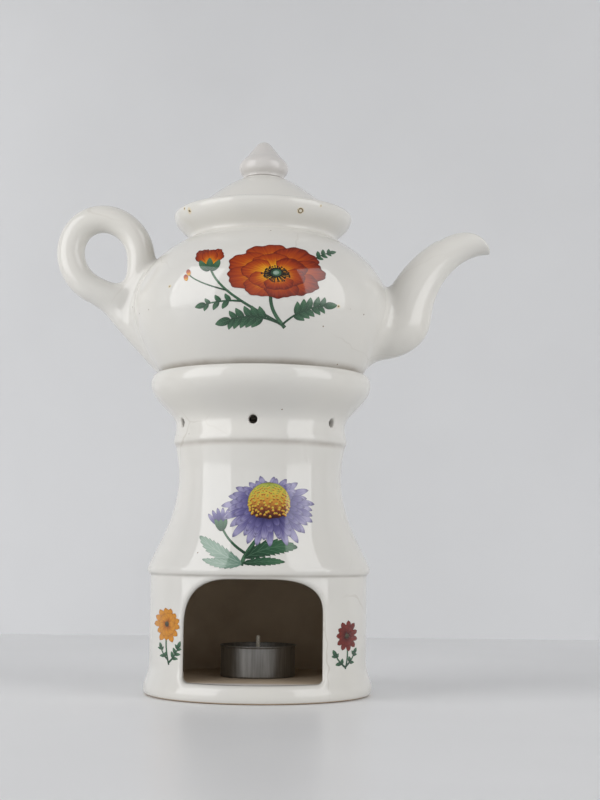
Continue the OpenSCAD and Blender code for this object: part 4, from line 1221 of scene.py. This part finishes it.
def stage_sheet(name, corners, colour, fade=1.0):
    """A flat sheet of the stage with a softly mottled paint on its front only, which can darken upwards, as painted
    shade, to the fade share at 0.6 m.
    """
    mesh = bpy.data.meshes.new(name)
    mesh.from_pydata([[c * MM for c in p] for p in corners], [], [[0, 1, 2, 3]])
    made = bpy.data.objects.new(name, mesh)
    bpy.context.scene.collection.objects.link(made)
    paint = bpy.data.materials.new(name + "_paint")
    paint.use_nodes = True
    tree = paint.node_tree
    where = node(tree, "ShaderNodeTexCoord").outputs["Object"]
    mottle = node(tree, "ShaderNodeTexNoise", {"Vector": where}, Scale=5.0, Detail=3.0).outputs["Fac"]
    darker = tuple(0.96 * c for c in colour)
    level = node(tree, "ShaderNodeSeparateXYZ", {"Vector": where}).outputs["Z"]
    # The paint darkens upwards to the fade share at 0.6 m and above: painted shade.
    painted_shade_towards_top = ramp(tree, sums(tree, "DIVIDE", level, 0.6), (0.0, (1, 1, 1)), (1.0, (fade, fade, fade)))
    mixed = node(tree, "ShaderNodeMix", {6: ramp(tree, mottle, (0.35, darker), (0.65, colour)), 7: painted_shade_towards_top},
                 data_type="RGBA", blend_type="MULTIPLY")
    mixed.inputs[0].default_value = 1.0
    tree.links.new(mixed.outputs[2], tree.nodes["Principled BSDF"].inputs["Base Color"])
    tree.nodes["Principled BSDF"].inputs["Roughness"].default_value = 0.35
    behind = node(tree, "ShaderNodeNewGeometry").outputs["Backfacing"]
    one_sided = node(tree, "ShaderNodeMixShader", {0: behind, 1: tree.nodes["Principled BSDF"].outputs[0],
                                                   2: node(tree, "ShaderNodeBsdfTransparent").outputs[0]})
    tree.links.new(one_sided.outputs[0], tree.nodes["Material Output"].inputs["Surface"])
    mesh.materials.append(paint)
    return made


stage_sheet("table_top", [(-stage_half, -stage_half, table_z), (stage_half, -stage_half, table_z),
                          (stage_half, wall_y, table_z), (-stage_half, wall_y, table_z)], (0.82, 0.823, 0.826))
# The wall's paint darkens upwards from the table to 0.79 of its colour at 0.6 m: painted shade.
stage_sheet("back_wall", [(-stage_half, wall_y, table_z), (stage_half, wall_y, table_z),
                          (stage_half, wall_y, stage_half), (-stage_half, wall_y, stage_half)],
            (0.68, 0.685, 0.695), 0.79)

view_turn = math.radians(3.6)
box_middle_z = 772.0
for name, turned, wide, high, power in (("soft_box_left", -63, 1.0, 1.54, 12.7),
                                        ("soft_box_right", 56, 0.84, 1.54, 9.0)):
    azimuth, away = math.radians(turned) - math.pi / 2 + view_turn, 1200.0
    lamp = bpy.data.lights.new(name, "AREA")
    lamp.shape = "RECTANGLE"
    lamp.size, lamp.size_y = wide, high
    lamp.energy = power
    box = bpy.data.objects.new(name, lamp)
    bpy.context.scene.collection.objects.link(box)
    way = np.array([math.cos(azimuth), math.sin(azimuth), 0.0])
    right = np.cross([0, 0, 1], way)
    right /= np.linalg.norm(right)
    up = np.cross(way, right)
    spot = way * away + (0, 0, box_middle_z)
    box.matrix_world = Matrix([[right[i], up[i], way[i], spot[i] * MM] for i in range(3)] + [[0, 0, 0, 1]])

world = bpy.data.worlds.new("studio_air")
world.use_nodes = True
bpy.context.scene.world = world
tree = world.node_tree
way = node(tree, "ShaderNodeTexCoord").outputs["Generated"]
rise = node(tree, "ShaderNodeSeparateXYZ", {"Vector": way}).outputs["Z"]
tree.links.new(ramp(tree, rise, (0.0, (0.66, 0.66, 0.66)), (0.35, (0.50, 0.50, 0.51)), (0.9, (0.16, 0.16, 0.17))),
               tree.nodes["Background"].inputs["Color"])
bpy.context.scene.view_settings.view_transform = "Standard"

pixels_long, focal_pixels, axis_pixels = 800, 1400.0, 39.4
pitch, roll = math.radians(6.1), math.radians(-0.52)
camera_away, camera_z = 728.0, 73.1
yaw = math.atan(axis_pixels * math.cos(pitch) / focal_pixels) - view_turn
ahead = np.array([math.sin(yaw) * math.cos(pitch), math.cos(yaw) * math.cos(pitch), math.sin(pitch)])
level = np.array([math.cos(yaw), -math.sin(yaw), 0])
right = level * math.cos(roll) - np.cross(level, ahead) * math.sin(roll)
up = np.cross(right, ahead)
spot = np.array([camera_away * math.sin(view_turn), -camera_away * math.cos(view_turn), camera_z])
eye = bpy.data.cameras.new("eye")
eye.lens = focal_pixels * eye.sensor_width / pixels_long
camera = bpy.data.objects.new("eye", eye)
bpy.context.scene.collection.objects.link(camera)
camera.matrix_world = Matrix([[right[i], up[i], -ahead[i], spot[i] * MM] for i in range(3)] + [[0, 0, 0, 1]])
bpy.context.scene.camera = camera
